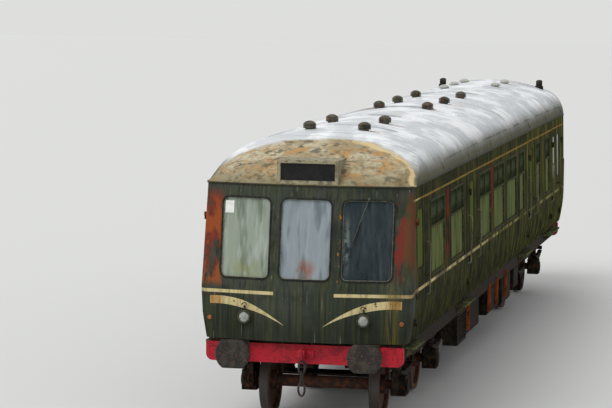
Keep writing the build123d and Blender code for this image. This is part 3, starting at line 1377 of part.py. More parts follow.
# Bogie frame, in places measured from its own pivot: side frames with horns, transoms,
# a bolster on coil springs over a hung plank, brake gear and a final drive
BOGIE_SIDE_LOW_Z = BOGIE_TOP_Z - BOGIE_SIDE_DEPTH
BOGIE_SIDE_Y = JOURNAL_Y - BOGIE_SIDE_THICKNESS / 2
BOGIE_NOSE = 40.0
HORN_LAP = 20.0
TRANSOM_OUT = 380.0
TRANSOM_WIDTH = 110.0
PLANK_TOP_Z = 430.0
PLANK_THICKNESS = 30.0
PLANK_WIDTH = 400.0
PLANK_HALF_LENGTH = 900.0
COIL_Y = 780.0
COIL_OUT = 90.0
COIL_RADIUS = 80.0
COIL_GROOVE = 16.0
COIL_TURNS = 6
LINK_Y = 870.0
LINK_WIDTH = 30.0
BRAKE_GAP = 10.0
SHOE_THICKNESS = 45.0
SHOE_HALF_HEIGHT = 130.0
SHOE_WIDTH = 84.0
SHOE_Y = (BACK_TO_BACK + FLANGE_WIDTH + TYRE_WIDTH) / 2
BRAKE_BAR = 40.0
DRIVE_LENGTH = 400.0
DRIVE_WIDTH = 360.0
DRIVE_HEIGHT = 340.0
DRIVE_CLEARANCE = 6.0
DRIVE_ARM = 60.0
SPRING_Y = 1083.0
SPRING_WIDTH = 75.0
SPRING_LEAVES = [170.0, 250.0, 330.0, 410.0, 490.0]
SPRING_LEAF = 14.0
SPRING_CAMBER = 40.0
SPRING_BUCKLE = 90.0
SPRING_BRACKET = 60.0
SPRING_ROD_RADIUS = 14.0
AXLEBOX_TOP_Z = AXLE_Z + AXLEBOX_HEIGHT / 2
SPRING_BRACKET_Z = BOGIE_SIDE_LOW_Z + 10.0


def bogie_sides(bogie_x):
    """Build the two side frames with their horns and spring brackets."""
    half_box = AXLEBOX_WIDTH / 2 + SLIDE_GAP
    axle = BOGIE_WHEELBASE / 2
    foot = BOGIE_SIDE_LOW_Z + BOGIE_NOSE
    with BuildPart() as sides:
        with BuildSketch(Plane(origin=(bogie_x, BOGIE_SIDE_Y, 0), x_dir=(-1, 0, 0), z_dir=(0, 1, 0))):
            Polygon(
                (-BOGIE_SIDE_HALF_LENGTH, foot),
                (-BOGIE_SIDE_HALF_LENGTH, BOGIE_TOP_Z - BOGIE_NOSE / 2),
                (-axle, BOGIE_TOP_Z),
                (axle, BOGIE_TOP_Z),
                (BOGIE_SIDE_HALF_LENGTH, BOGIE_TOP_Z - BOGIE_NOSE / 2),
                (BOGIE_SIDE_HALF_LENGTH, foot),
                (axle + half_box + 2 * HORN_THICKNESS, BOGIE_SIDE_LOW_Z),
                (-axle - half_box - 2 * HORN_THICKNESS, BOGIE_SIDE_LOW_Z),
                align=None,
            )
            for axle_side in (1, -1):
                for horn in (1, -1):
                    inner = axle_side * axle + horn * half_box
                    Polygon(
                        (inner, HORN_BOTTOM_Z),
                        (inner, BOGIE_SIDE_LOW_Z + HORN_LAP),
                        (inner + horn * 2 * HORN_THICKNESS, BOGIE_SIDE_LOW_Z + HORN_LAP),
                        (inner + horn * HORN_THICKNESS, HORN_BOTTOM_Z),
                        align=None,
                    )
        extrude(amount=BOGIE_SIDE_THICKNESS)
        for axle_side in (1, -1):
            for end in (1, -1):
                bracket_x = bogie_x + axle_side * axle + end * (SPRING_LEAVES[-1] - SPRING_ROD_RADIUS)
                with Locations((bracket_x, BOGIE_SIDE_Y, SPRING_BRACKET_Z)):
                    Box(
                        SPRING_BRACKET,
                        SPRING_Y + SPRING_WIDTH / 2 - BOGIE_SIDE_Y,
                        SPRING_BRACKET,
                        align=(Align.CENTER, Align.MIN, Align.MIN),
                    )
    return sides.part


def coil(x, y):
    """Build one coil spring as a turned, grooved column."""
    pitch = (BOLSTER_TOP_Z - BOLSTER_DEPTH - PLANK_TOP_Z) / COIL_TURNS
    points = [(0.0, PLANK_TOP_Z), (COIL_RADIUS, PLANK_TOP_Z)]
    for turn in range(COIL_TURNS):
        low = PLANK_TOP_Z + turn * pitch
        points.append((COIL_RADIUS, low + pitch * 0.6))
        points.append((COIL_RADIUS - COIL_GROOVE, low + pitch * 0.8))
        points.append((COIL_RADIUS, low + pitch))
    points.append((0.0, BOLSTER_TOP_Z - BOLSTER_DEPTH))
    with BuildPart() as spring:
        with BuildSketch(Plane(origin=(x, y, 0), x_dir=(1, 0, 0), z_dir=(0, -1, 0))):
            Polygon(*points, align=None)
        revolve(axis=Axis((x, y, 0), (0, 0, 1)))
    return spring.part


def bogie_middle(bogie_x):
    """Build the transoms, the bolster on its coils, the plank and its swing links."""
    with BuildPart() as middle:
        with Locations([(bogie_x + end * TRANSOM_OUT, 0, BOGIE_SIDE_LOW_Z) for end in (1, -1)]):
            Box(TRANSOM_WIDTH, 2 * BOGIE_SIDE_Y, BOGIE_SIDE_DEPTH, align=ALIGN_LOW)
        with Locations((bogie_x, 0, BOLSTER_TOP_Z)):
            Box(
                BOLSTER_WIDTH,
                2 * BOGIE_SIDE_Y,
                BOLSTER_DEPTH,
                align=(Align.CENTER, Align.CENTER, Align.MAX),
            )
        with Locations((bogie_x, 0, PLANK_TOP_Z)):
            Box(
                PLANK_WIDTH,
                2 * PLANK_HALF_LENGTH,
                PLANK_THICKNESS,
                align=(Align.CENTER, Align.CENTER, Align.MAX),
            )
        for end in (1, -1):
            for side in (1, -1):
                add(coil(bogie_x + end * COIL_OUT, side * COIL_Y))
                with BuildSketch(Plane.XZ.offset(-side * LINK_Y - LINK_WIDTH / 2)):
                    Polygon(
                        (bogie_x + end * (TRANSOM_OUT - LINK_WIDTH), BOGIE_SIDE_LOW_Z + HORN_LAP),
                        (bogie_x + end * (TRANSOM_OUT + LINK_WIDTH), BOGIE_SIDE_LOW_Z + HORN_LAP),
                        (bogie_x + end * PLANK_WIDTH / 2, PLANK_TOP_Z - PLANK_THICKNESS),
                        (bogie_x + end * (PLANK_WIDTH / 2 - LINK_WIDTH), PLANK_TOP_Z - PLANK_THICKNESS),
                        align=None,
                    )
                extrude(amount=LINK_WIDTH)
        with Locations((bogie_x, 0, BOLSTER_TOP_Z - 2 * BOLSTER_DEPTH)):
            Cylinder(
                PIVOT_RADIUS + PIVOT_CLEARANCE,
                3 * BOLSTER_DEPTH,
                align=ALIGN_LOW,
                mode=Mode.SUBTRACT,
            )
    return middle.part


def brake_gear(bogie_x, end):
    """Build one axle's brake shoes with their hangers, arms and beam."""
    axle_x = bogie_x + end * BOGIE_WHEELBASE / 2
    shoe_radius = WHEEL_TREAD_RADIUS + BRAKE_GAP
    hanger_x = axle_x - end * (shoe_radius + SHOE_THICKNESS)
    arm_length = abs(hanger_x - bogie_x) - TRANSOM_OUT + BRAKE_BAR
    with BuildPart() as gear:
        for side in (1, -1):
            with BuildSketch(Plane.XZ.offset(-side * SHOE_Y - SHOE_WIDTH / 2)):
                with Locations((hanger_x + end * SHOE_THICKNESS, AXLE_Z)):
                    Rectangle(2 * SHOE_THICKNESS, 2 * SHOE_HALF_HEIGHT)
                with Locations((axle_x, AXLE_Z)):
                    Circle(shoe_radius, mode=Mode.SUBTRACT)
            extrude(amount=SHOE_WIDTH)
            with Locations((hanger_x, side * SHOE_Y, AXLE_Z - BRAKE_BAR)):
                Box(BRAKE_BAR, BRAKE_BAR, BOGIE_SIDE_LOW_Z + 2 * BRAKE_BAR - AXLE_Z, align=ALIGN_LOW)
            with Locations((hanger_x + end * BRAKE_BAR / 2, side * SHOE_Y, BOGIE_SIDE_LOW_Z)):
                Box(
                    arm_length,
                    BRAKE_BAR,
                    BRAKE_BAR,
                    align=(Align.MAX if end > 0 else Align.MIN, Align.CENTER, Align.MIN),
                )
        with Locations((hanger_x, 0, AXLE_Z - BRAKE_BAR)):
            Box(BRAKE_BAR, 2 * SHOE_Y, BRAKE_BAR, align=ALIGN_LOW)
    return gear.part


def final_drive(bogie_x, end):
    """Build the gear case round the driven axle, with its arm to the transom."""
    axle_x = bogie_x + end * BOGIE_WHEELBASE / 2
    near_x = axle_x - end * DRIVE_LENGTH / 2
    far_x = bogie_x + end * TRANSOM_OUT
    with BuildPart() as drive:
        with Locations((axle_x, 0, AXLE_Z)):
            Box(DRIVE_LENGTH, DRIVE_WIDTH, DRIVE_HEIGHT)
        with BuildSketch(Plane.XZ.offset(-DRIVE_ARM / 2)):
            Polygon(
                (near_x + end * DRIVE_ARM, AXLE_Z),
                (near_x + end * DRIVE_ARM, AXLE_Z + 2 * DRIVE_ARM),
                (far_x, BOGIE_SIDE_LOW_Z + DRIVE_ARM),
                (far_x, BOGIE_SIDE_LOW_Z),
                align=None,
            )
        extrude(amount=DRIVE_ARM)
        with Locations(Plane(origin=(axle_x, 0, AXLE_Z), z_dir=(0, 1, 0)).location):
            Cylinder(AXLE_RADIUS + DRIVE_CLEARANCE, 2 * DRIVE_WIDTH, mode=Mode.SUBTRACT)
    return drive.part


def bogie_frame(bogie_x, driven_end):
    """Join one bogie's frame, bolster, brake gear and final drive."""
    with BuildPart() as side_pair:
        add(bogie_sides(bogie_x))
        mirror(about=Plane.XZ)
    with BuildPart() as frame:
        add(side_pair.part)
        add(bogie_middle(bogie_x))
        add(brake_gear(bogie_x, 1))
        add(brake_gear(bogie_x, -1))
        add(final_drive(bogie_x, driven_end))
    return frame.part


def leaf_spring(axle_x):
    """Build one laminated spring with its buckle and hanger rods."""
    with BuildPart() as spring:
        with BuildSketch(Plane.XZ.offset(-SPRING_Y - SPRING_WIDTH / 2)):
            for place, half_length in enumerate(SPRING_LEAVES):
                low = AXLEBOX_TOP_Z + (place + 1) * SPRING_LEAF
                tip = low + SPRING_CAMBER * (half_length / SPRING_LEAVES[-1]) ** 2
                with BuildLine():
                    ThreePointArc((axle_x - half_length, tip), (axle_x, low), (axle_x + half_length, tip))
                    Line((axle_x + half_length, tip), (axle_x + half_length, tip + SPRING_LEAF))
                    ThreePointArc(
                        (axle_x + half_length, tip + SPRING_LEAF),
                        (axle_x, low + SPRING_LEAF),
                        (axle_x - half_length, tip + SPRING_LEAF),
                    )
                    Line((axle_x - half_length, tip + SPRING_LEAF), (axle_x - half_length, tip))
                make_face()
            with Locations((axle_x, AXLEBOX_TOP_Z)):
                Rectangle(
                    SPRING_BUCKLE,
                    (len(SPRING_LEAVES) + 2) * SPRING_LEAF,
                    align=(Align.CENTER, Align.MIN),
                )
        extrude(amount=SPRING_WIDTH)
        rod_z = AXLEBOX_TOP_Z + SPRING_CAMBER + len(SPRING_LEAVES) * SPRING_LEAF
        for end in (1, -1):
            rod_x = axle_x + end * (SPRING_LEAVES[-1] - SPRING_ROD_RADIUS)
            with Locations((rod_x, SPRING_Y, rod_z)):
                Cylinder(SPRING_ROD_RADIUS, SPRING_BRACKET_Z - rod_z, align=ALIGN_LOW)
    return spring.part


def axleboxes(bogie_x):
    """Build one bogie's four axleboxes, each under its laminated spring."""
    with BuildPart() as left_boxes:
        for end in (1, -1):
            axle_x = bogie_x + end * BOGIE_WHEELBASE / 2
            with Locations((axle_x, AXLEBOX_INNER_Y, AXLE_Z)):
                Box(
                    AXLEBOX_WIDTH,
                    AXLEBOX_DEPTH,
                    AXLEBOX_HEIGHT,
                    align=(Align.CENTER, Align.MIN, Align.CENTER),
                )
            cover = Plane(
                origin=(axle_x, AXLEBOX_INNER_Y + AXLEBOX_DEPTH, AXLE_Z), z_dir=(0, 1, 0)
            )
            with Locations(cover.location):
                Cylinder(AXLEBOX_COVER_RADIUS, AXLEBOX_COVER, align=ALIGN_LOW)
            add(leaf_spring(axle_x))
            bore = Plane(origin=(axle_x, AXLE_HALF_LENGTH + JOURNAL_END_GAP, AXLE_Z), z_dir=(0, -1, 0))
            with Locations(bore.location):
                Cylinder(
                    JOURNAL_RADIUS + JOURNAL_CLEARANCE,
                    2 * AXLEBOX_DEPTH,
                    align=ALIGN_LOW,
                    mode=Mode.SUBTRACT,
                )
    with BuildPart() as boxes:
        add(left_boxes.part)
        mirror(left_boxes.part, about=Plane.XZ)
    return boxes.part


for place, bogie_x, driven_end in (("front", BOGIE_X[0], -1), ("rear", BOGIE_X[1], 1)):
    write(bogie_frame(bogie_x, driven_end), f"bogie_frame_{place}")
    write(axleboxes(bogie_x), f"axleboxes_{place}")
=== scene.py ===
"""Looks of a diesel railcar's driving coach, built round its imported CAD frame, in metres."""

import json
import logging
import math
from collections.abc import Sequence
from dataclasses import dataclass
from enum import Enum

import bmesh
import bpy
import numpy as np
from bpy.types import Material, NodeSocket, Object
from mathutils import Matrix

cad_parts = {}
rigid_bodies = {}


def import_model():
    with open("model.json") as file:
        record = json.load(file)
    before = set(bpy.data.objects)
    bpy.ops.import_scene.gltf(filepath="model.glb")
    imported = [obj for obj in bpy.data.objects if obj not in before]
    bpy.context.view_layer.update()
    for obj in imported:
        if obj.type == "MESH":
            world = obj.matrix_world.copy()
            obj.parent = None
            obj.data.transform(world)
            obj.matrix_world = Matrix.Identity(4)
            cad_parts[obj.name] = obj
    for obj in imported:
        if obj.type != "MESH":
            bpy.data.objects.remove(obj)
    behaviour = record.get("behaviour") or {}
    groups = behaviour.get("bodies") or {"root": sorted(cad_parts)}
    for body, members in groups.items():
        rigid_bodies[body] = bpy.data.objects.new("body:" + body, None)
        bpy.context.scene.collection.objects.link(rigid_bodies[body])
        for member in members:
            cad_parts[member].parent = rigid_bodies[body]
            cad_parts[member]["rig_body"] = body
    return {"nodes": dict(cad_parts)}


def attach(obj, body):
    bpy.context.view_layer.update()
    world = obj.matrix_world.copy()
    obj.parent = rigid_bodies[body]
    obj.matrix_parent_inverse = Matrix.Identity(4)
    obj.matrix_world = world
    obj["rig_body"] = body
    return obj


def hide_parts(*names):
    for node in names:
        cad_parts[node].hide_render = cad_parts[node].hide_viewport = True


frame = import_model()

LOG = logging.getLogger("coach")
Points = np.ndarray
Value = NodeSocket | float
Span = tuple[float, float]

# The body, as the CAD source gives it
FRONT_X = 8.765
SILL_Z = 1.226
SILL_HALF_WIDTH = 1.335
WAIST_Z = 1.871
WAIST_HALF_WIDTH = 1.410
GUTTER_Z = 3.238
GUTTER_HALF_WIDTH = 1.375
AXLE_Z = 0.485
AXLES_X = (7.390, 4.800, -4.800, -7.390)

# The cab front: a flat middle facet and two swept-back ones
FRONT_BOW = 0.160
FACET_HALF_WIDTH = 0.405
RAKE_AT_GUTTER = 0.19212


def linear(code: str) -> tuple[float, float, float, float]:
    """Turn an sRGB hex colour into linear light.

    Each channel c becomes c / 12.92 below 0.04045 and ((c + 0.055) / 1.055) ** 2.4 above it.

    Args:
        code: six hex digits after a hash sign.

    Returns:
        Linear red, green, blue and a full alpha.
    """
    channels = np.array([int(code[i : i + 2], 16) for i in (1, 3, 5)]) / 255
    light = np.where(channels < 0.04045, channels / 12.92, ((channels + 0.055) / 1.055) ** 2.4)
    return (*(float(value) for value in light), 1.0)


class Finish:
    """One finish's node tree: its colour, roughness and relief, laid coat by coat."""

    def __init__(self, name: str, colour: str, roughness: float, metallic: float = 0.0) -> None:
        """Start from a bare colour.

        Args:
            name: the finish's name, in a maker's words.
            colour: sRGB hex of the first coat.
            roughness: roughness of the first coat.
            metallic: 1 for bare metal, 0 for paint, rubber, wood and cloth.
        """
        self.material = bpy.data.materials.new(name)
        self.material.use_nodes = True
        self.tree = self.material.node_tree
        self.tree.nodes.clear()
        self.place = self.add("ShaderNodeTexCoord", output="Object")
        axes = self.add("ShaderNodeSeparateXYZ", inputs={0: self.place}).node
        self.x, self.y, self.z = axes.outputs
        self.colour: Value | tuple = linear(colour)
        self.roughness: Value = roughness
        self.metallic = metallic
        self.relief: Value | None = None

    def add(
        self,
        kind: str,
        settings: dict | None = None,
        inputs: dict | None = None,
        output: int | str | None = 0,
    ) -> NodeSocket | None:
        """Add a node with its settings and links.

        Args:
            kind: the node's type name.
            settings: attributes to set on the node.
            inputs: a socket to link from, or a value, for each input.
            output: the output that is wanted, or None for a node that has none.

        Returns:
            That output socket.
        """
        node = self.tree.nodes.new(kind)
        for key, value in (settings or {}).items():
            setattr(node, key, value)
        for key, value in (inputs or {}).items():
            if isinstance(value, NodeSocket):
                self.tree.links.new(value, node.inputs[key])
            else:
                node.inputs[key].default_value = value
        return None if output is None else node.outputs[output]

    def maths(self, operation: str, *values: Value, clamp: bool = False) -> NodeSocket:
        """Work out one operation on up to three values, clamped to 0 and 1 if asked.

        Args:
            operation: the maths node's operation.
            values: sockets or numbers.
            clamp: whether the result is kept between 0 and 1.

        Returns:
            The result.
        """
        settings = {"operation": operation, "use_clamp": clamp}
        return self.add("ShaderNodeMath", settings, dict(enumerate(values)))

    def clouds(self, size_mm: Sequence[float], detail: float = 3.0, shift: float = 0.0) -> NodeSocket:
        """Give a cloudy pattern between about 0.3 and 0.7, with a real size along each axis.

        Args:
            size_mm: size of one cloud along X, Y and Z.
            detail: how many finer layers are added.
            shift: moves the pattern, so that two of them differ.

        Returns:
            The pattern's value.
        """
        scale = tuple(1000 / size for size in size_mm)
        spot = (shift, shift * 1.7, shift * 0.6)
        inputs = {"Vector": self.place, "Scale": scale, "Location": spot}
        scaled = self.add("ShaderNodeMapping", inputs=inputs)
        inputs = {"Vector": scaled, "Scale": 1.0, "Detail": detail, "Roughness": 0.62}
        return self.add("ShaderNodeTexNoise", inputs=inputs)

    def where(self, value: NodeSocket, rise: Span | None = None, fall: Span | None = None) -> NodeSocket:
        """Give 1 where a value is past a rise and before a fall, with smooth steps between.

        Args:
            value: the value that is tested.
            rise: from where to where it goes from 0 to 1.
            fall: from where to where it goes from 1 back to 0.

        Returns:
            The product of the two smooth steps.
        """
        steps = []
        for limits, ends in ((rise, (0.0, 1.0)), (fall, (1.0, 0.0))):
            if limits is not None:
                inputs = dict(enumerate((value, *limits, *ends)))
                smooth = {"interpolation_type": "SMOOTHSTEP"}
                steps.append(self.add("ShaderNodeMapRange", smooth, inputs))
        return self.both(*steps)

    def both(self, *factors: Value) -> Value:
        """Multiply any number of masks, so that all of them have to be 1.

        Args:
            factors: masks or numbers.

        Returns:
            Their product.
        """
        product = factors[0]
        for factor in factors[1:]:
            product = self.maths("MULTIPLY", product, factor)
        return product

    def lay(self, colour: str, roughness: float | None, *masks: Value) -> None:
        """Lay a coat over what is there: colour and roughness are blended in by its masks.

        Args:
            colour: sRGB hex of the coat.
            roughness: roughness of the coat, or None to keep what is below.
            masks: their product is 0 where what is below stays, and 1 where the coat covers it.
        """
        mask = self.both(*masks)
        inputs = {0: mask, 6: self.colour, 7: linear(colour)}
        self.colour = self.add("ShaderNodeMix", {"data_type": "RGBA"}, inputs, 2)
        if roughness is not None:
            inputs = {0: mask, 2: self.roughness, 3: roughness}
            self.roughness = self.add("ShaderNodeMix", {"data_type": "FLOAT"}, inputs)

    def blot(
        self,
        colour: str,
        roughness: float | None,
        size_mm: Sequence[float],
        detail: float,
        shift: float,
        rise: Span,
        *masks: Value,
    ) -> NodeSocket:
        """Lay a coat in clouds.

        Args:
            colour: sRGB hex of the coat.
            roughness: roughness of the coat, or None to keep what is below.
            size_mm: size of one cloud along X, Y and Z.
            detail: how many finer layers the clouds have.
            shift: moves the clouds, so that two patterns differ.
            rise: from where to where in the clouds the coat goes from 0 to 1.
            masks: more masks, multiplied with the clouds.

        Returns:
            The clouds' value.
        """
        pattern = self.clouds(size_mm, detail, shift)
        self.lay(colour, roughness, self.where(pattern, rise=rise), *masks)
        return pattern

    def raise_by(self, height: NodeSocket, depth_mm: float, relief_fades: float = 1.0) -> None:
        """Add relief from a pattern.

        Args:
            height: the pattern's value.
            depth_mm: height between the pattern's 0 and 1.
            relief_fades: strength of the relief's shading, up to 1.
        """
        inputs = {"Height": height, "Distance": depth_mm / 1000, "Strength": relief_fades}
        if self.relief is not None:
            inputs["Normal"] = self.relief
        self.relief = self.add("ShaderNodeBump", inputs=inputs)

    def done(self, alpha: Value | None = None, specular: float = 0.5) -> Material:
        """Join the coats to a shader and an output.

        Args:
            alpha: how much the surface covers, for dirty glass.
            specular: the shader's specular level; 0.5 is clean paint or glass, less is chalky.

        Returns:
            The finished material.
        """
        inputs = {"Base Color": self.colour, "Roughness": self.roughness, "Metallic": self.metallic}
        if self.relief is not None:
            inputs["Normal"] = self.relief
        if alpha is not None:
            inputs["Alpha"] = alpha
        inputs["Specular IOR Level"] = specular
        shader = self.add("ShaderNodeBsdfPrincipled", inputs=inputs)
        self.add("ShaderNodeOutputMaterial", inputs={"Surface": shader}, output=None)
        return self.material


class Livery(Enum):
    """Which lines are painted on a green panel."""

    SIDE = "waist line and cornice line along the side"
    CAB = "waist line and whiskers on the front, both side lines on its returns"
    PLAIN = "no lines"


@dataclass(frozen=True)
class CoachGreen:
    """Brushed oil paint on steel panels, left outdoors for decades.

    The paint has gone dull and dark. Rain has drawn green algae down it in streaks, which are
    thicker towards the rear, and rust comes through at the cab's corners and in flecks.
    """

    name: str
    livery: Livery
    paint: str = "#34352d"
    faded: str = "#45462f"
    # Colour of grime streaks and dirt on the lines, and of the painted shade on the lower body
    grime_and_shade: str = "#262521"
    algae: str = "#747338"
    primer: str = "#73342a"
    rust: str = "#96502a"
    fresh_rust: str = "#b0662f"
    spot_rust: str = "#a96b2c"
    brown: str = "#584a2e"
    chalk: str = "#a9a996"
    cream: str = "#d8c592"
    mossy_cream: str = "#77763c"
    brown_cream: str = "#74562b"
    rusty_cream: str = "#a9702c"
    gold: str = "#957a42"
    olive: str = "#6b5f24"
    growth_front: float = 0.30
    growth_rear: float = 0.62
    waist_step: float = 0.042
    line_dirt: float = 0.55
    specular: float = 0.0
    rusty_pillars: tuple[Span, ...] = ((5.47, 6.07), (1.05, 1.44))

    def _weather(self, coat: Finish) -> None:
        """Lay fading, painted shade on the lower body, grime, algae and rain streaks.

        Args:
            coat: the finish's node tree.
        """
        coat.blot(self.faded, 0.85, (700, 700, 500), 3.0, 3.0, (0.42, 0.62))
        # Painted shade: the lower body, where it curves under, is darkened with the grime colour
        coat.lay(self.grime_and_shade, 0.75, coat.where(coat.z, fall=(1.30, 1.75)), 0.65)
        coat.blot(self.grime_and_shade, 0.7, (38, 38, 900), 2.0, 11.0, (0.50, 0.68), 0.7)
        rearwards = coat.where(coat.x, fall=(-7.0, 7.5))
        growth = (self.growth_rear, self.growth_front)
        amount = coat.maths("MULTIPLY_ADD", rearwards, *growth, clamp=True)
        coat.blot(self.algae, 0.8, (60, 60, 1500), 4.0, 5.0, (0.47, 0.66), amount)
        coat.blot(self.chalk, 0.8, (24, 24, 700), 2.0, 23.0, (0.68, 0.76), 0.35)

    def _rust(self, coat: Finish) -> None:
        """Lay primer and rust on two pillars and at the front corners, and rust in flecks.

        Args:
            coat: the finish's node tree.
        """
        edge = coat.clouds((260, 260, 420), 5.0, shift=7.0)
        height = coat.where(coat.z, rise=(1.90, 2.3), fall=(2.9, 3.1))
        for rear, front in self.rusty_pillars:
            pillar = coat.where(coat.x, rise=(rear, rear + 0.12), fall=(front - 0.12, front))
            coat.lay(self.primer, 0.8, pillar, height, coat.where(edge, rise=(0.46, 0.60)))
        forward = coat.where(coat.x, rise=(8.40, 8.56))
        ragged = coat.maths("MULTIPLY_ADD", edge, 0.5, coat.maths("ABSOLUTE", coat.y))
        corner = coat.both(forward, coat.where(ragged, rise=(1.38, 1.44)))
        above = coat.where(coat.z, rise=(1.95, 2.35), fall=(3.02, 3.22))
        coat.lay(self.primer, 0.85, corner, above, coat.where(edge, rise=(0.38, 0.50)))
        rightmost = coat.both(coat.where(ragged, rise=(1.40, 1.45)), coat.where(coat.y, fall=(-0.1, 0.1)))
        lower = coat.where(coat.z, rise=(1.88, 2.02), fall=(2.95, 3.15))
        patches = coat.where(edge, rise=(0.47, 0.57))
        coat.lay(self.rust, 0.9, forward, rightmost, lower, patches, 0.85)
        leftmost = coat.where(coat.y, rise=(1.25, 1.30))
        coat.lay(self.brown, 0.85, forward, leftmost, above, 0.6)
        if self.livery is Livery.CAB:
            run = coat.where(coat.y, rise=(1.02, 1.14), fall=(1.14, 1.26))
            low = coat.where(coat.z, fall=(1.80, 2.15))
            coat.blot(self.olive, 0.85, (22, 22, 600), 3.0, 45.0, (0.42, 0.60), run, low, 0.8)
            pillar = coat.where(coat.y, rise=(0.41, 0.43), fall=(0.455, 0.475))
            high = coat.where(coat.z, rise=(2.0, 2.05), fall=(2.95, 3.0))
            coat.blot(self.spot_rust, 0.9, (40, 40, 90), 2.0, 41.0, (0.60, 0.66), pillar, high)
        coat.blot(self.fresh_rust, 0.9, (34, 34, 70), 4.0, 13.0, (0.70, 0.74))

    def _lines(self, coat: Finish) -> None:
        """Paint the lines of the livery, worn through in places.

        The waist line steps up where it rounds the corner from the front to the side.

        Args:
            coat: the finish's node tree.
        """
        worn = coat.where(coat.clouds((60, 60, 60), 5.0, shift=17.0), fall=(0.60, 0.70))
        aside = coat.where(coat.x, fall=(8.62, 8.76))
        level = coat.maths("SUBTRACT", coat.z, coat.both(aside, self.waist_step))
        waist = coat.where(level, rise=(1.826, 1.829), fall=(1.870, 1.873))
        cornice = coat.where(coat.z, rise=(3.056, 3.059), fall=(3.084, 3.087))
        across = coat.maths("ABSOLUTE", coat.y)
        if self.livery is Livery.CAB:
            waist = coat.both(waist, coat.where(across, rise=(0.398, 0.402)))
            cornice = coat.both(cornice, coat.where(across, rise=(1.352, 1.362)))
        aged = coat.where(coat.x, fall=(-2.0, 6.0))
        coat.lay(self.cream, 0.55, waist, worn)
        coat.lay(self.mossy_cream, 0.7, waist, worn, aged, 0.75)
        coat.lay(self.gold, 0.55, cornice, worn)
        coat.lay(self.cream, 0.55, cornice, coat.where(coat.x, rise=(8.0, 8.5)))
        coat.blot(self.paint, 0.8, (520, 900, 900), 3.0, 43.0, (0.40, 0.56), waist, aside, 0.8)
        if self.livery is Livery.CAB:
            whisker = self._whisker(coat, across)
            coat.lay(self.cream, 0.55, whisker, worn)
            coat.lay(self.brown_cream, 0.7, waist, coat.where(coat.y, rise=(0.90, 1.15)), 0.6)
            coat.lay(self.rusty_cream, 0.7, whisker, coat.where(across, rise=(1.06, 1.16)), 0.7)
        coat.blot(self.grime_and_shade, 0.8, (40, 40, 420), 4.0, 37.0, (0.46, 0.66), self.line_dirt)

    def _whisker(self, coat: Finish, across: NodeSocket) -> Value:
        """Mask the curved whiskers: a parabola across the front, thickening outwards.

        Its middle is at z = 1.242 + 0.849 * across - 0.366 * across squared. Its half thickness
        grows by 0.089 for each metre outwards, up to 0.052.

        Args:
            coat: the finish's node tree.
            across: distance from the coach's middle.

        Returns:
            The whiskers' mask.
        """
        bend = coat.maths("MULTIPLY_ADD", across, -0.366, 0.849)
        middle = coat.maths("MULTIPLY_ADD", bend, across, 1.242)
        off = coat.maths("ABSOLUTE", coat.maths("SUBTRACT", coat.z, middle))
        thick = coat.maths("MINIMUM", coat.maths("MULTIPLY_ADD", across, 0.089, -0.0218), 0.052)
        left = coat.maths("SUBTRACT", thick, off)
        ends = coat.where(across, rise=(0.25, 0.27), fall=(1.268, 1.272))
        front = coat.where(coat.x, rise=(8.76, 8.78))
        return coat.both(coat.where(left, rise=(-0.001, 0.001)), ends, front)

    def make(self) -> Material:
        """Build the material: weather first, then the lines, rust over both, and relief.

        Returns:
            The material.
        """
        coat = Finish(self.name, self.paint, 0.5)
        self._weather(coat)
        if self.livery is not Livery.PLAIN:
            self._lines(coat)
        self._rust(coat)
        coat.raise_by(coat.clouds((340, 340, 260), 2.0, shift=29.0), 3.0, 0.5)
        coat.raise_by(coat.clouds((9, 9, 14), 3.0, shift=31.0), 0.6, 0.35)
        return coat.done(specular=self.specular)


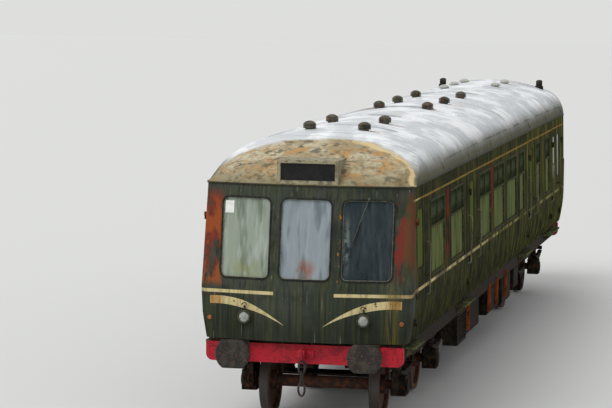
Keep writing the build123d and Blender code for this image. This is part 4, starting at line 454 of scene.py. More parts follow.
@dataclass(frozen=True)
class RoofPaint:
    """Chalky grey bitumen paint on steel, with an older cream coat showing on the cab's dome.

    Rain has left pale and dark streaks across the crown, and the shoulders are darker: dirt and
    painted shade. On the dome the grey has come off in patches and shows cream, tan and orange beneath.
    """

    name: str = "roof_paint"
    grey: str = "#cfd2d4"
    pale: str = "#f0f1f2"
    streak: str = "#8f9395"
    lichen: str = "#8d8c6c"
    # Dirt and painted shade on the shoulders
    shoulder: str = "#4b4838"
    moss: str = "#77774f"
    vent_rust: str = "#96603a"
    seam: str = "#23241f"
    cream: str = "#c3b796"
    tan: str = "#9c8b69"
    orange: str = "#bd8f55"
    mottle: str = "#83775d"
    bare: str = "#54534b"
    brow: str = "#756c52"
    # Pale edge of the peeled paint, and a painted highlight along the dome's crease
    rim: str = "#e0c995"
    vents_x: tuple[float, ...] = (6.765, 5.165, 1.365, -0.335, -2.135, -5.235, -6.435, -7.735)

    def make(self) -> Material:
        """Build the material: streaks, shoulders with dirt and painted shade, vent stains and the dome.

        Returns:
            The material.
        """
        coat = Finish(self.name, self.grey, 0.55)
        coat.blot(self.pale, None, (900, 500, 500), 3.0, 2.0, (0.42, 0.60))
        coat.blot(self.streak, None, (34, 900, 900), 3.0, 9.0, (0.54, 0.66), 0.5)
        lichen = coat.blot(self.lichen, 0.8, (30, 60, 60), 4.0, 4.0, (0.62, 0.70), 0.35)
        # Dirt and painted shade: the shoulders darken by height, where they turn away from the sky
        low = coat.where(coat.z, fall=(3.31, 3.63))
        coat.lay(self.shoulder, 0.85, low, 0.94)
        across = coat.maths("ABSOLUTE", coat.y)
        beside = coat.where(across, rise=(0.40, 0.50), fall=(0.52, 0.80))
        stain = coat.where(coat.clouds((60, 300, 300), 3.0, shift=18.0), rise=(0.42, 0.58))
        for x in self.vents_x:
            near = coat.where(coat.x, rise=(x - 0.16, x - 0.04), fall=(x + 0.04, x + 0.16))
            coat.lay(self.vent_rust, 0.85, near, beside, stain, 0.7)
        coat.blot(self.moss, 0.8, (60, 200, 200), 3.0, 6.0, (0.50, 0.62), low, 0.7)
        self._peeling(coat)
        coat.lay(self.seam, 0.7, coat.where(coat.z, fall=(3.252, 3.262)), 0.9)
        coat.raise_by(coat.clouds((300, 240, 240), 2.0, shift=8.0), 4.0, 0.5)
        coat.raise_by(lichen, 0.8, 0.4)
        return coat.done(specular=0.1)

    def _peeling(self, coat: Finish) -> None:
        """Lay the peeling coats over the front of the dome.

        They end at a ragged line where x + 1.9 z is about 14.66, which runs from the gutter at
        the corners up and back to the crown. A thin pale edge follows parts of that line: partly the
        peeled paint's edge, partly a painted highlight along the dome's crease.

        Args:
            coat: the finish's node tree.
        """
        ragged = coat.clouds((520, 520, 420), 5.0, shift=10.0)
        lifted = coat.maths("MULTIPLY_ADD", coat.z, 1.9, coat.x)
        line = coat.maths("MULTIPLY_ADD", ragged, 0.24, lifted)
        dome = coat.where(line, rise=(14.72, 14.86))
        coat.lay(self.cream, 0.8, dome, 0.9)
        broad = coat.blot(self.tan, 0.8, (420, 420, 260), 3.0, 12.0, (0.40, 0.60), dome, 0.85)
        coat.blot(self.orange, 0.85, (240, 240, 130), 4.0, 14.0, (0.47, 0.62), dome, 0.75)
        coat.blot(self.mottle, 0.85, (60, 60, 45), 5.0, 47.0, (0.48, 0.60), dome, 0.5)
        coat.blot(self.bare, 0.85, (150, 150, 100), 6.0, 15.0, (0.52, 0.62), dome, 0.8)
        coat.lay(self.brow, 0.85, coat.where(coat.z, fall=(3.28, 3.46)), dome, 0.6)
        # Painted highlight along the dome's crease, over the pale edge of the peeled paint
        thin = coat.where(line, rise=(14.77, 14.80), fall=(14.84, 14.87))
        leftwards = coat.where(coat.y, rise=(0.2, 0.6))
        coat.lay(self.rim, 0.7, thin, leftwards, coat.where(broad, rise=(0.36, 0.50)), 0.8)


@dataclass(frozen=True)
class DirtyGlass:
    """Toughened float glass that has not been washed for years.

    A film of dust and algae lies on it in vertical runs, so it hides most of what is behind. The
    runs' gaps cover less and are painted darker, as painted shade of the inside behind them. A
    stain can lie on one part of a pane.
    """

    name: str
    film: str
    run: str
    dark: str
    cover: float = 0.85
    run_mm: float = 60.0
    sheen: float = 0.3
    stain: str = ""
    stain_y: Span = (0.0, 0.0)
    stain_z: Span = (0.0, 0.0)
    gap_cover: float = 0.35

    def coats(self) -> tuple[Finish, NodeSocket]:
        """Lay the film, its runs and the stain, and give them with the mask of clear gaps.

        Returns:
            The node tree and the gaps' mask.
        """
        coat = Finish(self.name, self.film, 0.7)
        coat.blot(self.run, 0.5, (self.run_mm, self.run_mm, 1400), 3.0, 19.0, (0.44, 0.72), 0.55)
        gaps = coat.clouds((self.run_mm * 2, self.run_mm * 2, 900), 2.0, shift=21.0)
        clear = coat.where(gaps, rise=(0.48, 0.68))
        # Painted shade: the clear gaps take a darker colour for the inside seen through them
        coat.lay(self.dark, 0.2, clear, 0.6)
        if self.stain:
            area = []
            for value, (start, end) in ((coat.y, self.stain_y), (coat.z, self.stain_z)):
                soft = (end - start) / 2
                area.append(coat.where(value, rise=(start, start + soft), fall=(end - soft, end)))
            coat.blot(self.stain, 0.6, (70, 70, 110), 4.0, 27.0, (0.36, 0.54), *area)
        return coat, clear

    def make(self) -> Material:
        """Build the material, which covers less in the gaps of its runs.

        Returns:
            The material.
        """
        coat, clear = self.coats()
        cover = coat.maths("MULTIPLY_ADD", clear, -self.gap_cover, self.cover, clamp=True)
        return coat.done(alpha=cover, specular=self.sheen)


@dataclass(frozen=True)
class SaloonGlass(DirtyGlass):
    """Dirty saloon glass: moss on the lower panes, and a dark toplight with faint pale slats."""

    toplight: str = "#202a1c"
    slat: str = "#8d9482"
    slat_pitch: float = 0.075
    gap_cover: float = 0.20

    def coats(self) -> tuple[Finish, NodeSocket]:
        """Lay a toplight over the film, and slats: a sine's crests along X, one pitch apart.

        Returns:
            The node tree and the gaps' mask.
        """
        coat, clear = super().coats()
        coat.lay(self.toplight, None, coat.where(coat.z, rise=(2.600, 2.616)), 0.85)
        wave = coat.maths("SINE", coat.maths("MULTIPLY", coat.x, 2 * math.pi / self.slat_pitch))
        lens = coat.where(coat.z, rise=(2.68, 2.77), fall=(2.82, 2.92))
        coat.lay(self.slat, 0.5, coat.where(wave, rise=(0.55, 0.95)), lens, 0.6)
        return coat, clear


@dataclass(frozen=True)
class SootyIron:
    """Black-painted underframe iron under brake dust and oil, with rust in patches."""

    name: str
    paint: str = "#191816"
    dust: str = "#3a332b"
    rust: str = "#6d3d22"

    def make(self) -> Material:
        """Build the material.

        Returns:
            The material.
        """
        coat = Finish(self.name, self.paint, 0.6)
        coat.blot(self.dust, 0.85, (160, 160, 160), 4.0, 1.0, (0.42, 0.64))
        rust = coat.blot(self.rust, 0.9, (45, 45, 60), 5.0, 16.0, (0.56, 0.66), 0.8)
        coat.raise_by(rust, 1.2, 0.6)
        return coat.done(specular=0.03)


@dataclass(frozen=True)
class Patina:
    """A plain finish with two coats of weather over it, each with its own size of cloud."""

    name: str
    base: str
    first: str
    second: str
    roughness: float = 0.7
    first_mm: tuple[float, float, float] = (120, 120, 120)
    second_mm: tuple[float, float, float] = (30, 30, 30)
    first_at: Span = (0.45, 0.62)
    second_at: Span = (0.56, 0.66)
    relief_mm: float = 0.6
    metallic: float = 0.0
    specular: float = 0.3

    def make(self) -> Material:
        """Build the material.

        Returns:
            The material.
        """
        coat = Finish(self.name, self.base, self.roughness, self.metallic)
        coat.blot(self.first, None, self.first_mm, 4.0, 2.0, self.first_at)
        rougher = min(1.0, self.roughness + 0.1)
        fine = coat.blot(self.second, rougher, self.second_mm, 4.0, 5.0, self.second_at)
        coat.raise_by(fine, self.relief_mm, 0.5)
        return coat.done(specular=self.specular)


@dataclass(frozen=True)
class WheelSteel:
    """Rolled wheel steel: rusty brown webs, and treads kept dull bright by the rails."""

    name: str
    axle_x: float
    brown: str = "#3c2a20"
    rust: str = "#6b3f26"
    bright: str = "#3d3a36"

    def make(self) -> Material:
        """Build the material; the tread is what lies more than 0.449 m from the axle.

        Returns:
            The material.
        """
        coat = Finish(self.name, self.brown, 0.8)
        rust = coat.blot(self.rust, 0.9, (70, 70, 70), 4.0, 6.0, (0.45, 0.60))
        aside = coat.maths("SUBTRACT", coat.x, self.axle_x)
        lift = coat.maths("SUBTRACT", coat.z, AXLE_Z)
        flat = coat.add("ShaderNodeCombineXYZ", inputs={0: aside, 1: lift, 2: 0.0})
        reach = coat.add("ShaderNodeVectorMath", {"operation": "LENGTH"}, {0: flat}, "Value")
        coat.lay(self.bright, 0.35, coat.where(reach, rise=(0.449, 0.452)), 0.8)
        coat.raise_by(rust, 0.8, 0.5)
        return coat.done()


@dataclass(frozen=True)
class Moquette:
    """Woven wool pile in two dark reds, crossed by thin pale threads."""

    name: str = "moquette"
    ground: str = "#5b2422"
    figure: str = "#3d1c22"
    thread: str = "#a78c62"
    thread_pitch: float = 0.060

    def make(self) -> Material:
        """Build the material; its pile is drawn at 3 mm, coarser than the real 1 mm.

        Returns:
            The material.
        """
        coat = Finish(self.name, self.ground, 0.95)
        coat.blot(self.figure, None, (18, 18, 18), 2.0, 0.0, (0.48, 0.54))
        wave = coat.maths("SINE", coat.maths("MULTIPLY", coat.y, 2 * math.pi / self.thread_pitch))
        coat.lay(self.thread, None, coat.where(wave, rise=(0.97, 0.99)), 0.6)
        coat.raise_by(coat.clouds((3, 3, 3), 1.0), 0.8, 0.6)
        return coat.done(specular=0.1)


class Form:
    """Surfaces gathered into one mesh, each worked out as a grid of points."""

    def __init__(self) -> None:
        """Start empty."""
        self.points: list[Points] = []
        self.faces: list[list[int]] = []
        self.count = 0

    def sheet(self, grid: Points, close_rows: bool = False, close_columns: bool = False) -> None:
        """Add a grid of points as quads.

        Args:
            grid: points with shape (rows, columns, 3).
            close_rows: join the last row to the first.
            close_columns: join the last column to the first.
        """
        rows, columns = grid.shape[:2]
        index = np.arange(rows * columns).reshape(rows, columns) + self.count
        if close_rows:
            index = np.vstack([index, index[:1]])
        if close_columns:
            index = np.hstack([index, index[:, :1]])
        quads = np.stack([index[:-1, :-1], index[1:, :-1], index[1:, 1:], index[:-1, 1:]], axis=-1)
        self.faces += quads.reshape(-1, 4).tolist()
        self.points.append(grid.reshape(-1, 3))
        self.count += rows * columns

    def tube(self, grid: Points) -> None:
        """Add a grid whose rows are closed loops, with flat ends on its first and last rows.

        Args:
            grid: points with shape (rows, columns, 3).
        """
        rows, columns = grid.shape[:2]
        first = list(range(self.count, self.count + columns))
        last = [corner + (rows - 1) * columns for corner in first]
        self.sheet(grid, close_columns=True)
        self.faces += [first[::-1], last]

    def sweep(self, path: Points, profile: Points, closed: bool = False, up: Points = (0, 0, 1)) -> None:
        """Carry a flat profile along a path.

        At each point the profile's first axis is up crossed with the path's tangent, and its
        second axis is the tangent crossed with that.

        Args:
            path: points with shape (n, 3).
            profile: corners with shape (m, 2).
            closed: the path ends where it began.
            up: the direction that the profile's second axis keeps nearest to.
        """
        path = np.asarray(path, float)
        if closed:
            tangent = np.roll(path, -1, axis=0) - np.roll(path, 1, axis=0)
        else:
            tangent = np.gradient(path, axis=0)
        tangent /= np.linalg.norm(tangent, axis=1)[:, None]
        side = np.cross(np.asarray(up, float), tangent)
        side /= np.linalg.norm(side, axis=1)[:, None]
        over = np.cross(tangent, side)
        profile = np.asarray(profile, float)
        grid = path[:, None] + side[:, None] * profile[None, :, :1] + over[:, None] * profile[None, :, 1:]
        if closed:
            self.sheet(grid, close_rows=True, close_columns=True)
        else:
            self.tube(grid)

    def turned(self, profile: Points | list[Span], centre: Points, axis: Points, sides: int = 24) -> None:
        """Turn a profile about an axis.

        Each corner (r, h) becomes a ring of radius r at height h along the axis.

        Args:
            profile: corners (radius, height) with shape (m, 2).
            centre: where height is 0.
            axis: direction of the axis.
            sides: how many flats a ring has.
        """
        axis = np.asarray(axis, float) / np.linalg.norm(axis)
        first = np.cross(axis, (0.0, 0.0, 1.0) if abs(axis[2]) < 0.9 else (1.0, 0.0, 0.0))
        first /= np.linalg.norm(first)
        second = np.cross(axis, first)
        angle = np.linspace(0, 2 * math.pi, sides, endpoint=False)
        ring = np.cos(angle)[:, None] * first + np.sin(angle)[:, None] * second
        profile = np.asarray(profile, float)
        rings = profile[:, None, :1] * ring[None] + profile[:, None, 1:] * axis
        self.tube(np.asarray(centre, float) + rings)

    def slab(self, low: Points, high: Points, edge: float = 0.004) -> None:
        """Add a block between two corners, its long edges rounded by a small radius.

        Args:
            low: the corner with the least X, Y and Z.
            high: the opposite corner.
            edge: radius of the long edges.
        """
        low, high = np.asarray(low, float), np.asarray(high, float)
        size = high - low
        long = int(np.argmax(size))
        others = [axis for axis in range(3) if axis != long]
        outline = rounded(size[others[0]], size[others[1]], min(edge, 0.49 * min(size[others])), 2)
        grid = np.zeros((2, len(outline), 3))
        grid[:, :, others[0]] = outline[None, :, 0] + (low + high)[others[0]] / 2
        grid[:, :, others[1]] = outline[None, :, 1] + (low + high)[others[1]] / 2
        grid[0, :, long], grid[1, :, long] = low[long], high[long]
        self.tube(grid)

    def piece(self, name: str, body: str, material: Material, slot: str, crease: float = 35.0) -> Object:
        """Make the mesh and let it ride on a CAD body.

        Args:
            name: the piece's name.
            body: the CAD body that it rides on.
            material: its finish.
            slot: not used.
            crease: edges sharper than this many degrees stay sharp.

        Returns:
            The finished object, at the origin.
        """
        mesh = bpy.data.meshes.new(name)
        mesh.from_pydata(np.vstack(self.points).tolist(), [], self.faces)
        shell = bmesh.new()
        shell.from_mesh(mesh)
        bmesh.ops.remove_doubles(shell, verts=shell.verts, dist=1e-6)
        bmesh.ops.recalc_face_normals(shell, faces=shell.faces)
        shell.to_mesh(mesh)
        shell.free()
        return settle(mesh, name, body, material, crease)


def settle(
    mesh: bpy.types.Mesh, name: str, body: str, material: Material, crease: float
) -> Object:
    """Give a mesh its shading and finish and let it ride on a body.

    Args:
        mesh: the mesh.
        name: the piece's name.
        body: the CAD body that it rides on.
        material: its finish.
        crease: edges sharper than this many degrees stay sharp.

    Returns:
        The piece.
    """
    mesh.shade_smooth()
    mesh.set_sharp_from_angle(angle=math.radians(crease))
    mesh.materials.clear()
    mesh.materials.append(material)
    piece = bpy.data.objects.new(name, mesh)
    bpy.context.scene.collection.objects.link(piece)
    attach(piece, body)
    LOG.info("%s: %d faces on %s", name, len(mesh.polygons), body)
    return piece


def rounded(width: float, height: float, radius: float, steps: int = 5) -> Points:
    """Give the outline of a rounded rectangle round the origin.

    Each corner is a quarter circle of the radius, drawn in a number of steps.

    Args:
        width: size along the first axis.
        height: size along the second axis.
        radius: radius of the corners.
        steps: steps in each corner.

    Returns:
        Corners with shape (n, 2).
    """
    angle = np.linspace(0, math.pi / 2, steps + 1)
    arc = np.stack([np.cos(angle), np.sin(angle)], axis=1) * radius
    corners = []
    for quarter, (across, up) in enumerate(((1, 1), (-1, 1), (-1, -1), (1, -1))):
        turn = quarter * math.pi / 2
        turned = arc @ [[math.cos(turn), math.sin(turn)], [-math.sin(turn), math.cos(turn)]]
        corners.append(turned + (across * (width / 2 - radius), up * (height / 2 - radius)))
    return np.vstack(corners)


def circle(radius: float, sides: int = 10) -> Points:
    """Give a circle's corners round the origin."""
    angle = np.linspace(0, 2 * math.pi, sides, endpoint=False)
    return np.stack([np.cos(angle), np.sin(angle)], axis=1) * radius


def smooth_path(points: Sequence[Sequence[float]], each: int = 6) -> Points:
    """Run a Catmull-Rom curve through points, with a number of steps between each two.

    Between b and c, with neighbours a and d, the place at t is half of
    2b + (c - a)t + (2a - 5b + 4c - d)t^2 + (3b - a - 3c + d)t^3.

    Args:
        points: the points that the curve passes.
        each: steps between two points.

    Returns:
        Points with shape (n, 3).
    """
    given = np.asarray(points, float)
    padded = np.vstack([2 * given[0] - given[1], given, 2 * given[-1] - given[-2]])
    a, b, c, d = padded[:-3], padded[1:-2], padded[2:-1], padded[3:]
    t = np.linspace(0, 1, each, endpoint=False)[None, :, None]
    a, b, c, d = (corner[:, None, :] for corner in (a, b, c, d))
    run = 0.5 * (2 * b + (c - a) * t + (2 * a - 5 * b + 4 * c - d) * t**2 + (3 * b - a - 3 * c + d) * t**3)
    return np.vstack([run.reshape(-1, 3), given[-1:]])


def pillow(
    centre: Sequence[float], half: Sequence[float], upright: bool = False, piping: float = 0.004
) -> Points:
    """Give a crowned, closed and piped pad as a grid of rings from one pole to the other.

    It is a superellipsoid: with the sixth power round its outline and the third power over its
    crown. Between the corners its sides are pulled in by up to 3 percent, most at each side's
    middle, where the cosine of twice the angle is 1 or -1. Round its widest ring runs a ridge of
    piping, which falls away over the two rings on each side.

    Args:
        centre: middle of the pad.
        half: half its size along X, Y and Z.
        upright: crowned along X, as a back is, instead of along Z.
        piping: how far the piping stands out.

    Returns:
        Points with shape (rings, places, 3).
    """
    half = half[::-1] if upright else half
    turn = np.linspace(0, 2 * math.pi, 48, endpoint=False)[None, :]
    seam = (-0.035, -0.02, 0.02, 0.035)
    rise = np.sort(np.append(np.linspace(-math.pi / 2, math.pi / 2, 15), seam))[:, None]
    ridge = np.interp(np.abs(rise), (0, 0.02, 0.035), (0, -piping / 4, -piping))

    def power(wave: Points, exponent: float) -> Points:
        """Give a wave's size to a power, with its own sign."""
        return np.sign(wave) * np.abs(wave) ** exponent

    pulled = 1 - 0.03 * np.cos(2 * turn) ** 2
    level = power(np.cos(rise), 2 / 5) * pulled
    grid = np.stack(
        [
            (half[0] + ridge) * level * power(np.cos(turn), 2 / 6),
            (half[1] + ridge) * level * power(np.sin(turn), 2 / 6),
            half[2] * power(np.sin(rise), 2 / 3) * np.ones_like(turn),
        ],
        axis=-1,
    )
    grid = grid[..., ::-1] if upright else grid
    return grid + np.asarray(centre, float)


def front_x(y: Points | float, z: Points | float) -> Points | float:
    """Give the cab front's surface: three facets, leaning back above the waist.

    Args:
        y: distance from the middle, to the left.
        z: height.

    Returns:
        X of the surface.
    """
    lean = RAKE_AT_GUTTER * np.clip((z - WAIST_Z) / (GUTTER_Z - WAIST_Z), 0, None)
    half = WAIST_HALF_WIDTH + np.where(
        z > WAIST_Z, (GUTTER_HALF_WIDTH - WAIST_HALF_WIDTH) * (z - WAIST_Z) / (GUTTER_Z - WAIST_Z),
        (SILL_HALF_WIDTH - WAIST_HALF_WIDTH) * ((WAIST_Z - z) / (WAIST_Z - SILL_Z)) ** 2,
    )
    out = np.clip((np.abs(y) - FACET_HALF_WIDTH) / (half - FACET_HALF_WIDTH), 0, 1)
    return FRONT_X + FRONT_BOW - lean - FRONT_BOW * out


def side_y(z: Points) -> Points:
    """Give the body side's half width: a tumblehome arc below the waist, a lean above it.

    Args:
        z: height.

    Returns:
        Half width.
    """
    drop = WAIST_Z - SILL_Z
    inward = WAIST_HALF_WIDTH - SILL_HALF_WIDTH
    radius = (drop**2 + inward**2) / (2 * inward)
    below = WAIST_HALF_WIDTH - radius + np.sqrt(radius**2 - np.clip(WAIST_Z - z, 0, drop) ** 2)
    above = WAIST_HALF_WIDTH + (GUTTER_HALF_WIDTH - WAIST_HALF_WIDTH) * (z - WAIST_Z) / (GUTTER_Z - WAIST_Z)
    return np.where(z > WAIST_Z, above, below)


def loose_parts(node: str) -> list[tuple[Points, Points]]:
    """Split a copy of a CAD node's mesh into its separate solids.

    Corners at one place share a label; each label then takes the lowest label that a triangle
    joins it to, over and over, until nothing changes.

    Args:
        node: the CAD node.

    Returns:
        Points and triangles of each solid, largest first.
    """
    mesh = frame["nodes"][node].data
    points = np.empty(len(mesh.vertices) * 3)
    mesh.vertices.foreach_get("co", points)
    mesh.calc_loop_triangles()
    corners = np.empty(len(mesh.loop_triangles) * 3, int)
    mesh.loop_triangles.foreach_get("vertices", corners)
    _, first, place = np.unique(
        np.round(points.reshape(-1, 3), 6), axis=0, return_index=True, return_inverse=True
    )
    shared = points.reshape(-1, 3)[first]
    triangles = place.reshape(-1)[corners].reshape(-1, 3)
    label = np.arange(len(shared))
    while True:
        lowest = label[triangles].min(axis=1)
        lower = label.copy()
        for corner in range(3):
            np.minimum.at(lower, triangles[:, corner], lowest)
        lower = lower[lower]
        if np.array_equal(lower, label):
            break
        label = lower
    parts = []
    for solid in np.unique(label):
        own = triangles[label[triangles[:, 0]] == solid]
        if len(own):
            used, local = np.unique(own, return_inverse=True)
            parts.append((shared[used], local.reshape(-1, 3)))
    return sorted(parts, key=lambda part: -float(np.prod(np.ptp(part[0], axis=0) + 1e-3)))


def merged_copy(
    node: str, material: Material, crease: float = 30.0, parts: list | None = None, name: str = ""
) -> Object:
    """Replace a CAD node by a merged copy, so that its curved faces shade smoothly.

    Args:
        node: the CAD node.
        material: its finish.
        crease: edges sharper than this many degrees stay sharp.
        parts: which of its solids to take, or None for all.
        name: the piece's name, or the node's own with _skin.

    Returns:
        The piece.
    """
    name = name or f"{node}_skin"
    parts = loose_parts(node) if parts is None else parts
    offsets = np.cumsum([0, *[len(points) for points, _ in parts]])
    mesh = bpy.data.meshes.new(name)
    mesh.from_pydata(
        np.vstack([points for points, _ in parts]).tolist(), [],
        np.vstack([own + offset for (_, own), offset in zip(parts, offsets)]).tolist(),
    )
    body = frame["nodes"][node]["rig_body"]
    piece = settle(mesh, name, body, material, crease)
    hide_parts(node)
    return piece


@dataclass
class BodyShell:
    """The green body: sides, cab front, rear end, window frames and their rubbers."""

    window_sill: float = 1.958
    window_head: float = 2.978
    window_radius: float = 0.060
    rubber: float = 0.010
    windows: tuple[Span, ...] = (
        (1.490, 2.710), (3.260, 4.480), (6.140, 7.360), (7.700, 8.920), (9.270, 10.490), (10.880, 11.500),
        (13.150, 13.770), (14.540, 15.160),
    )

    def dress(self, side: Material, cab: Material, plain: Material, frames: Material) -> None:
        """Paint the CAD panels.

        Args:
            side: paint with the side's lines.
            cab: paint with the cab's lines.
            plain: paint with no lines.
            frames: paint of the window frames.
        """
        merged_copy("left_side", side)
        merged_copy("right_side", side)
        merged_copy("cab_front", cab)
        merged_copy("rear_end", plain)
        merged_copy("window_frames", frames)

    def build_rubbers(self, rubber: Material) -> None:
        """Run a rubber bead round each side window, where its frame meets the panel.

        The bead's path is a rounded rectangle laid on the leaning wall.

        Args:
            rubber: finish of the beads.
        """
        for sign, side in ((1, "left"), (-1, "right")):
            beads = Form()
            for front, rear in self.windows:
                outline = rounded(rear - front, self.window_head - self.window_sill, self.window_radius, 4)
                z = outline[:, 1] + (self.window_sill + self.window_head) / 2
                x = outline[:, 0] + FRONT_X - (front + rear) / 2
                path = np.stack([x, sign * (side_y(z) + 0.002), z], axis=1)
                beads.sweep(path, circle(self.rubber / 2, 6), closed=True, up=(0, 1, 0))
            beads.piece(f"window_rubbers_{side}", "body", rubber, "bellows")


@dataclass
class CabEnd:
    """What the cab front carries: its glass, window rubbers, a wiper, lamps and fittings."""

    window_low: float = 2.038
    window_high: float = 3.068
    window_radius: float = 0.080
    windows: tuple[Span, ...] = ((-0.805, 0.650), (0.0, 0.660), (0.805, 0.650))
    lamp_y: float = 0.786
    lamp_z: float = 1.530
    lamp_radius: float = 0.085
    lamp_iron_z: float = 1.686
    wiper_y: float = 0.805
    wiper_z: float = 3.090
    wiper_lean: float = 0.18 / 0.53
    notice_y: Span = (-1.105, -0.985)
    notice_z: Span = (2.860, 3.020)
    fitting_y: float = 1.270
    fitting_z: float = 1.492

    def glaze(self, glasses: Sequence[Material]) -> None:
        """Give each pane its own glass, from the coach's right to its left.

        Args:
            glasses: one glass per pane.
        """
        panes = sorted(loose_parts("cab_glass"), key=lambda part: part[0][:, 1].mean())
        for place, pane, glass in zip(("right", "middle", "left"), panes, glasses):
            merged_copy("cab_glass", glass, parts=[pane], name=f"cab_glass_{place}")

    def build_rubbers(self, rubber: Material, bead: Material) -> None:
        """Run a wide rubber and a thin filler bead round each cab window.

        The path is a rounded rectangle in Y and Z, and X follows the faceted, raked front.

        Args:
            rubber: finish of the wide rubbers.
            bead: finish of the filler beads.
        """
        seal, filler = Form(), Form()
        for centre, width in self.windows:
            for form, wider, out, radius in ((seal, 0.016, 0.002, 0.013), (filler, -0.010, -0.004, 0.004)):
                outline = rounded(
                    width + wider, self.window_high - self.window_low + wider, self.window_radius + wider / 2,
                )
                following = np.roll(outline, -1, axis=0)
                outline = np.linspace(outline, following, 6, endpoint=False, axis=1).reshape(-1, 2)
                y = outline[:, 0] + centre
                z = outline[:, 1] + (self.window_low + self.window_high) / 2
                path = np.stack([front_x(y, z) + out, y, z], axis=1)
                form.sweep(path, circle(radius, 8), closed=True, up=(1, 0, 0))
        seal.piece("cab_window_rubbers", "body", rubber, "bellows")
        filler.piece("cab_window_fillers", "body", bead, "rail_paint")

    def build_wiper(self, metal: Material, blade: Material) -> None:
        """Hang a wiper from above the driver's window: boss, arm and blade.

        Args:
            metal: finish of the arm.
            blade: finish of the blade.
        """
        arm = Form()
        z = np.array([self.wiper_z, 2.960, 2.700, 2.560])
        y = self.wiper_y - self.wiper_lean * (self.wiper_z - z)
        path = np.stack([front_x(y, z) + (0.018, 0.026, 0.020, 0.014), y, z], axis=1)
        arm.sweep(smooth_path(path), circle(0.005, 6), up=(0, 1, 0))
        boss = (front_x(self.wiper_y, self.wiper_z), self.wiper_y, self.wiper_z)
        arm.turned([(0.020, -0.01), (0.020, 0.014), (0.012, 0.024)], boss, (1, 0, 0.14), 12)
        arm.piece("wiper_arms", "body", metal, "rail_paint")
        rubber = Form()
        z = np.linspace(2.80, 2.32, 8)
        y = self.wiper_y - 0.9 * self.wiper_lean * (self.wiper_z - z)
        path = np.stack([front_x(y, z) + 0.010, y, z], axis=1)
        rubber.sweep(path, rounded(0.008, 0.014, 0.003, 1), up=(0, 1, 0))
        rubber.piece("wiper_blades", "body", blade, "bellows")

    def build_lamps(self, rim: Material, lens: Material, iron: Material) -> None:
        """Set a rim and a bowed lens in each marker lamp, with a hooped lamp iron above it.

        The lens is turned from a quarter of an ellipse, 12 mm deep.

        Args:
            rim: finish of the rims.
            lens: glass of the lenses.
            iron: finish of the lamp irons.
        """
        rims, lenses, irons = Form(), Form(), Form()
        outer = self.lamp_radius
        section = [(-0.004, -0.030), (0.004, -0.026), (0.004, 0.0), (-0.006, 0.008), (-0.018, 0.004)]
        section = np.array([*section, (-0.020, -0.010)]) + (outer, 0)
        bow = np.linspace(0, 1.45, 7)
        dome = np.stack([(outer - 0.016) * np.cos(bow), 0.012 * np.sin(bow) - 0.008], axis=1)
        turn = np.linspace(-0.3, math.pi + 0.3, 11)
        for y in (self.lamp_y, -self.lamp_y):
            centre = (front_x(y, self.lamp_z) + 0.058, y, self.lamp_z)
            rims.turned(section, centre, (1, 0, 0), 32)
            lenses.turned(dome, centre, (1, 0, 0), 32)
            z = self.lamp_iron_z
            x = front_x(y, z)
            hoop = np.stack([0 * turn + 0.030, 0.034 * np.cos(turn), 0.026 * np.sin(turn)], axis=1)
            irons.sweep(hoop + (x, y, z), circle(0.006, 6), up=(1, 0, 0))
            irons.slab((x - 0.004, y - 0.010, z - 0.050), (x + 0.034, y + 0.010, z - 0.010))
        rims.piece("lamp_rims", "body", rim, "lamp_paint")
        lenses.piece("lamp_lenses", "body", lens, "cab_window_glass")
        irons.piece("lamp_irons", "body", iron, "lamp_paint")

    def build_fittings(self, paper: Material, orange: Material) -> None:
        """Add the blank notice behind the glass and a small round fitting by each corner.

        Args:
            paper: finish of the notice.
            orange: finish of the two fittings.
        """
        notice = Form()
        y, z = np.meshgrid(self.notice_y, self.notice_z)
        rim = edge(np.stack([front_x(y, z) - 0.012, y, z], axis=-1))
        notice.tube(np.stack([rim, rim + (0.001, 0, 0)]))
        notice.piece("blank_notice", "body", paper, "sign_paint")
        fitting = Form()
        section = [(0.030, -0.02), (0.030, 0.012), (0.022, 0.020), (0.010, 0.022)]
        for side in (1, -1):
            y, z = side * self.fitting_y, self.fitting_z
            fitting.turned(section, (front_x(y, z), y, z), (1, side * 0.2, 0), 16)
        fitting.piece("corner_fittings", "body", orange, "lamp_paint")


def edge(grid: Points) -> Points:
    """Give the four corners of a grid's rim in order."""
    return np.stack([grid[0, 0], grid[0, -1], grid[-1, -1], grid[-1, 0]])


@dataclass
class BufferEnd:
    """What a buffer beam carries besides its buffers: coupling links and a packing bar."""

    beam_face: float
    hook_z: float = 1.058
    hook_out: float = 0.150
    link_half_width: float = 0.042
    link_half_height: float = 0.088
    link_pitch: float = 0.145
    bar_radius: float = 0.015
    packing_half_width: float = 1.270
    packing_depth: Span = (0.040, 0.100)
    packing_low: float = 1.180

    def build(self, end: int, iron: Material, dark: Material) -> None:
        """Hang three links from the hook, each turned a quarter from the one above.

        A link is an ellipse, its bar swept round it. A packing bar fills the gap between the
        beam and the body.

        Args:
            end: 1 for the cab end, -1 for the rear.
            iron: iron of the links.
            dark: finish of the packing bar.
        """
        gear = Form()
        turn = np.linspace(0, 2 * math.pi, 20, endpoint=False)
        for link in range(3):
            wide, high = self.link_half_width * np.cos(turn), self.link_half_height * np.sin(turn)
            ring = np.stack([wide, 0 * turn, high] if link % 2 else [0 * turn, wide, high], axis=1)
            middle_z = self.hook_z - 0.060 - self.link_pitch * link - self.link_half_height
            ring += (end * (self.beam_face + self.hook_out), 0.0, middle_z)
            up = (0, 1, 0) if link % 2 else (1, 0, 0)
            gear.sweep(ring, circle(self.bar_radius, 8), closed=True, up=up)
        place = "front" if end > 0 else "rear"
        gear.piece(f"coupling_links_{place}", "body", iron, "buffer_steel")
        packing = Form()
        near, far = sorted(end * (self.beam_face - depth) for depth in self.packing_depth)
        half = self.packing_half_width
        packing.slab((near, -half, self.packing_low), (far, half, SILL_Z))
        packing.piece(f"beam_packing_{place}", "body", dark, "frame_paint")


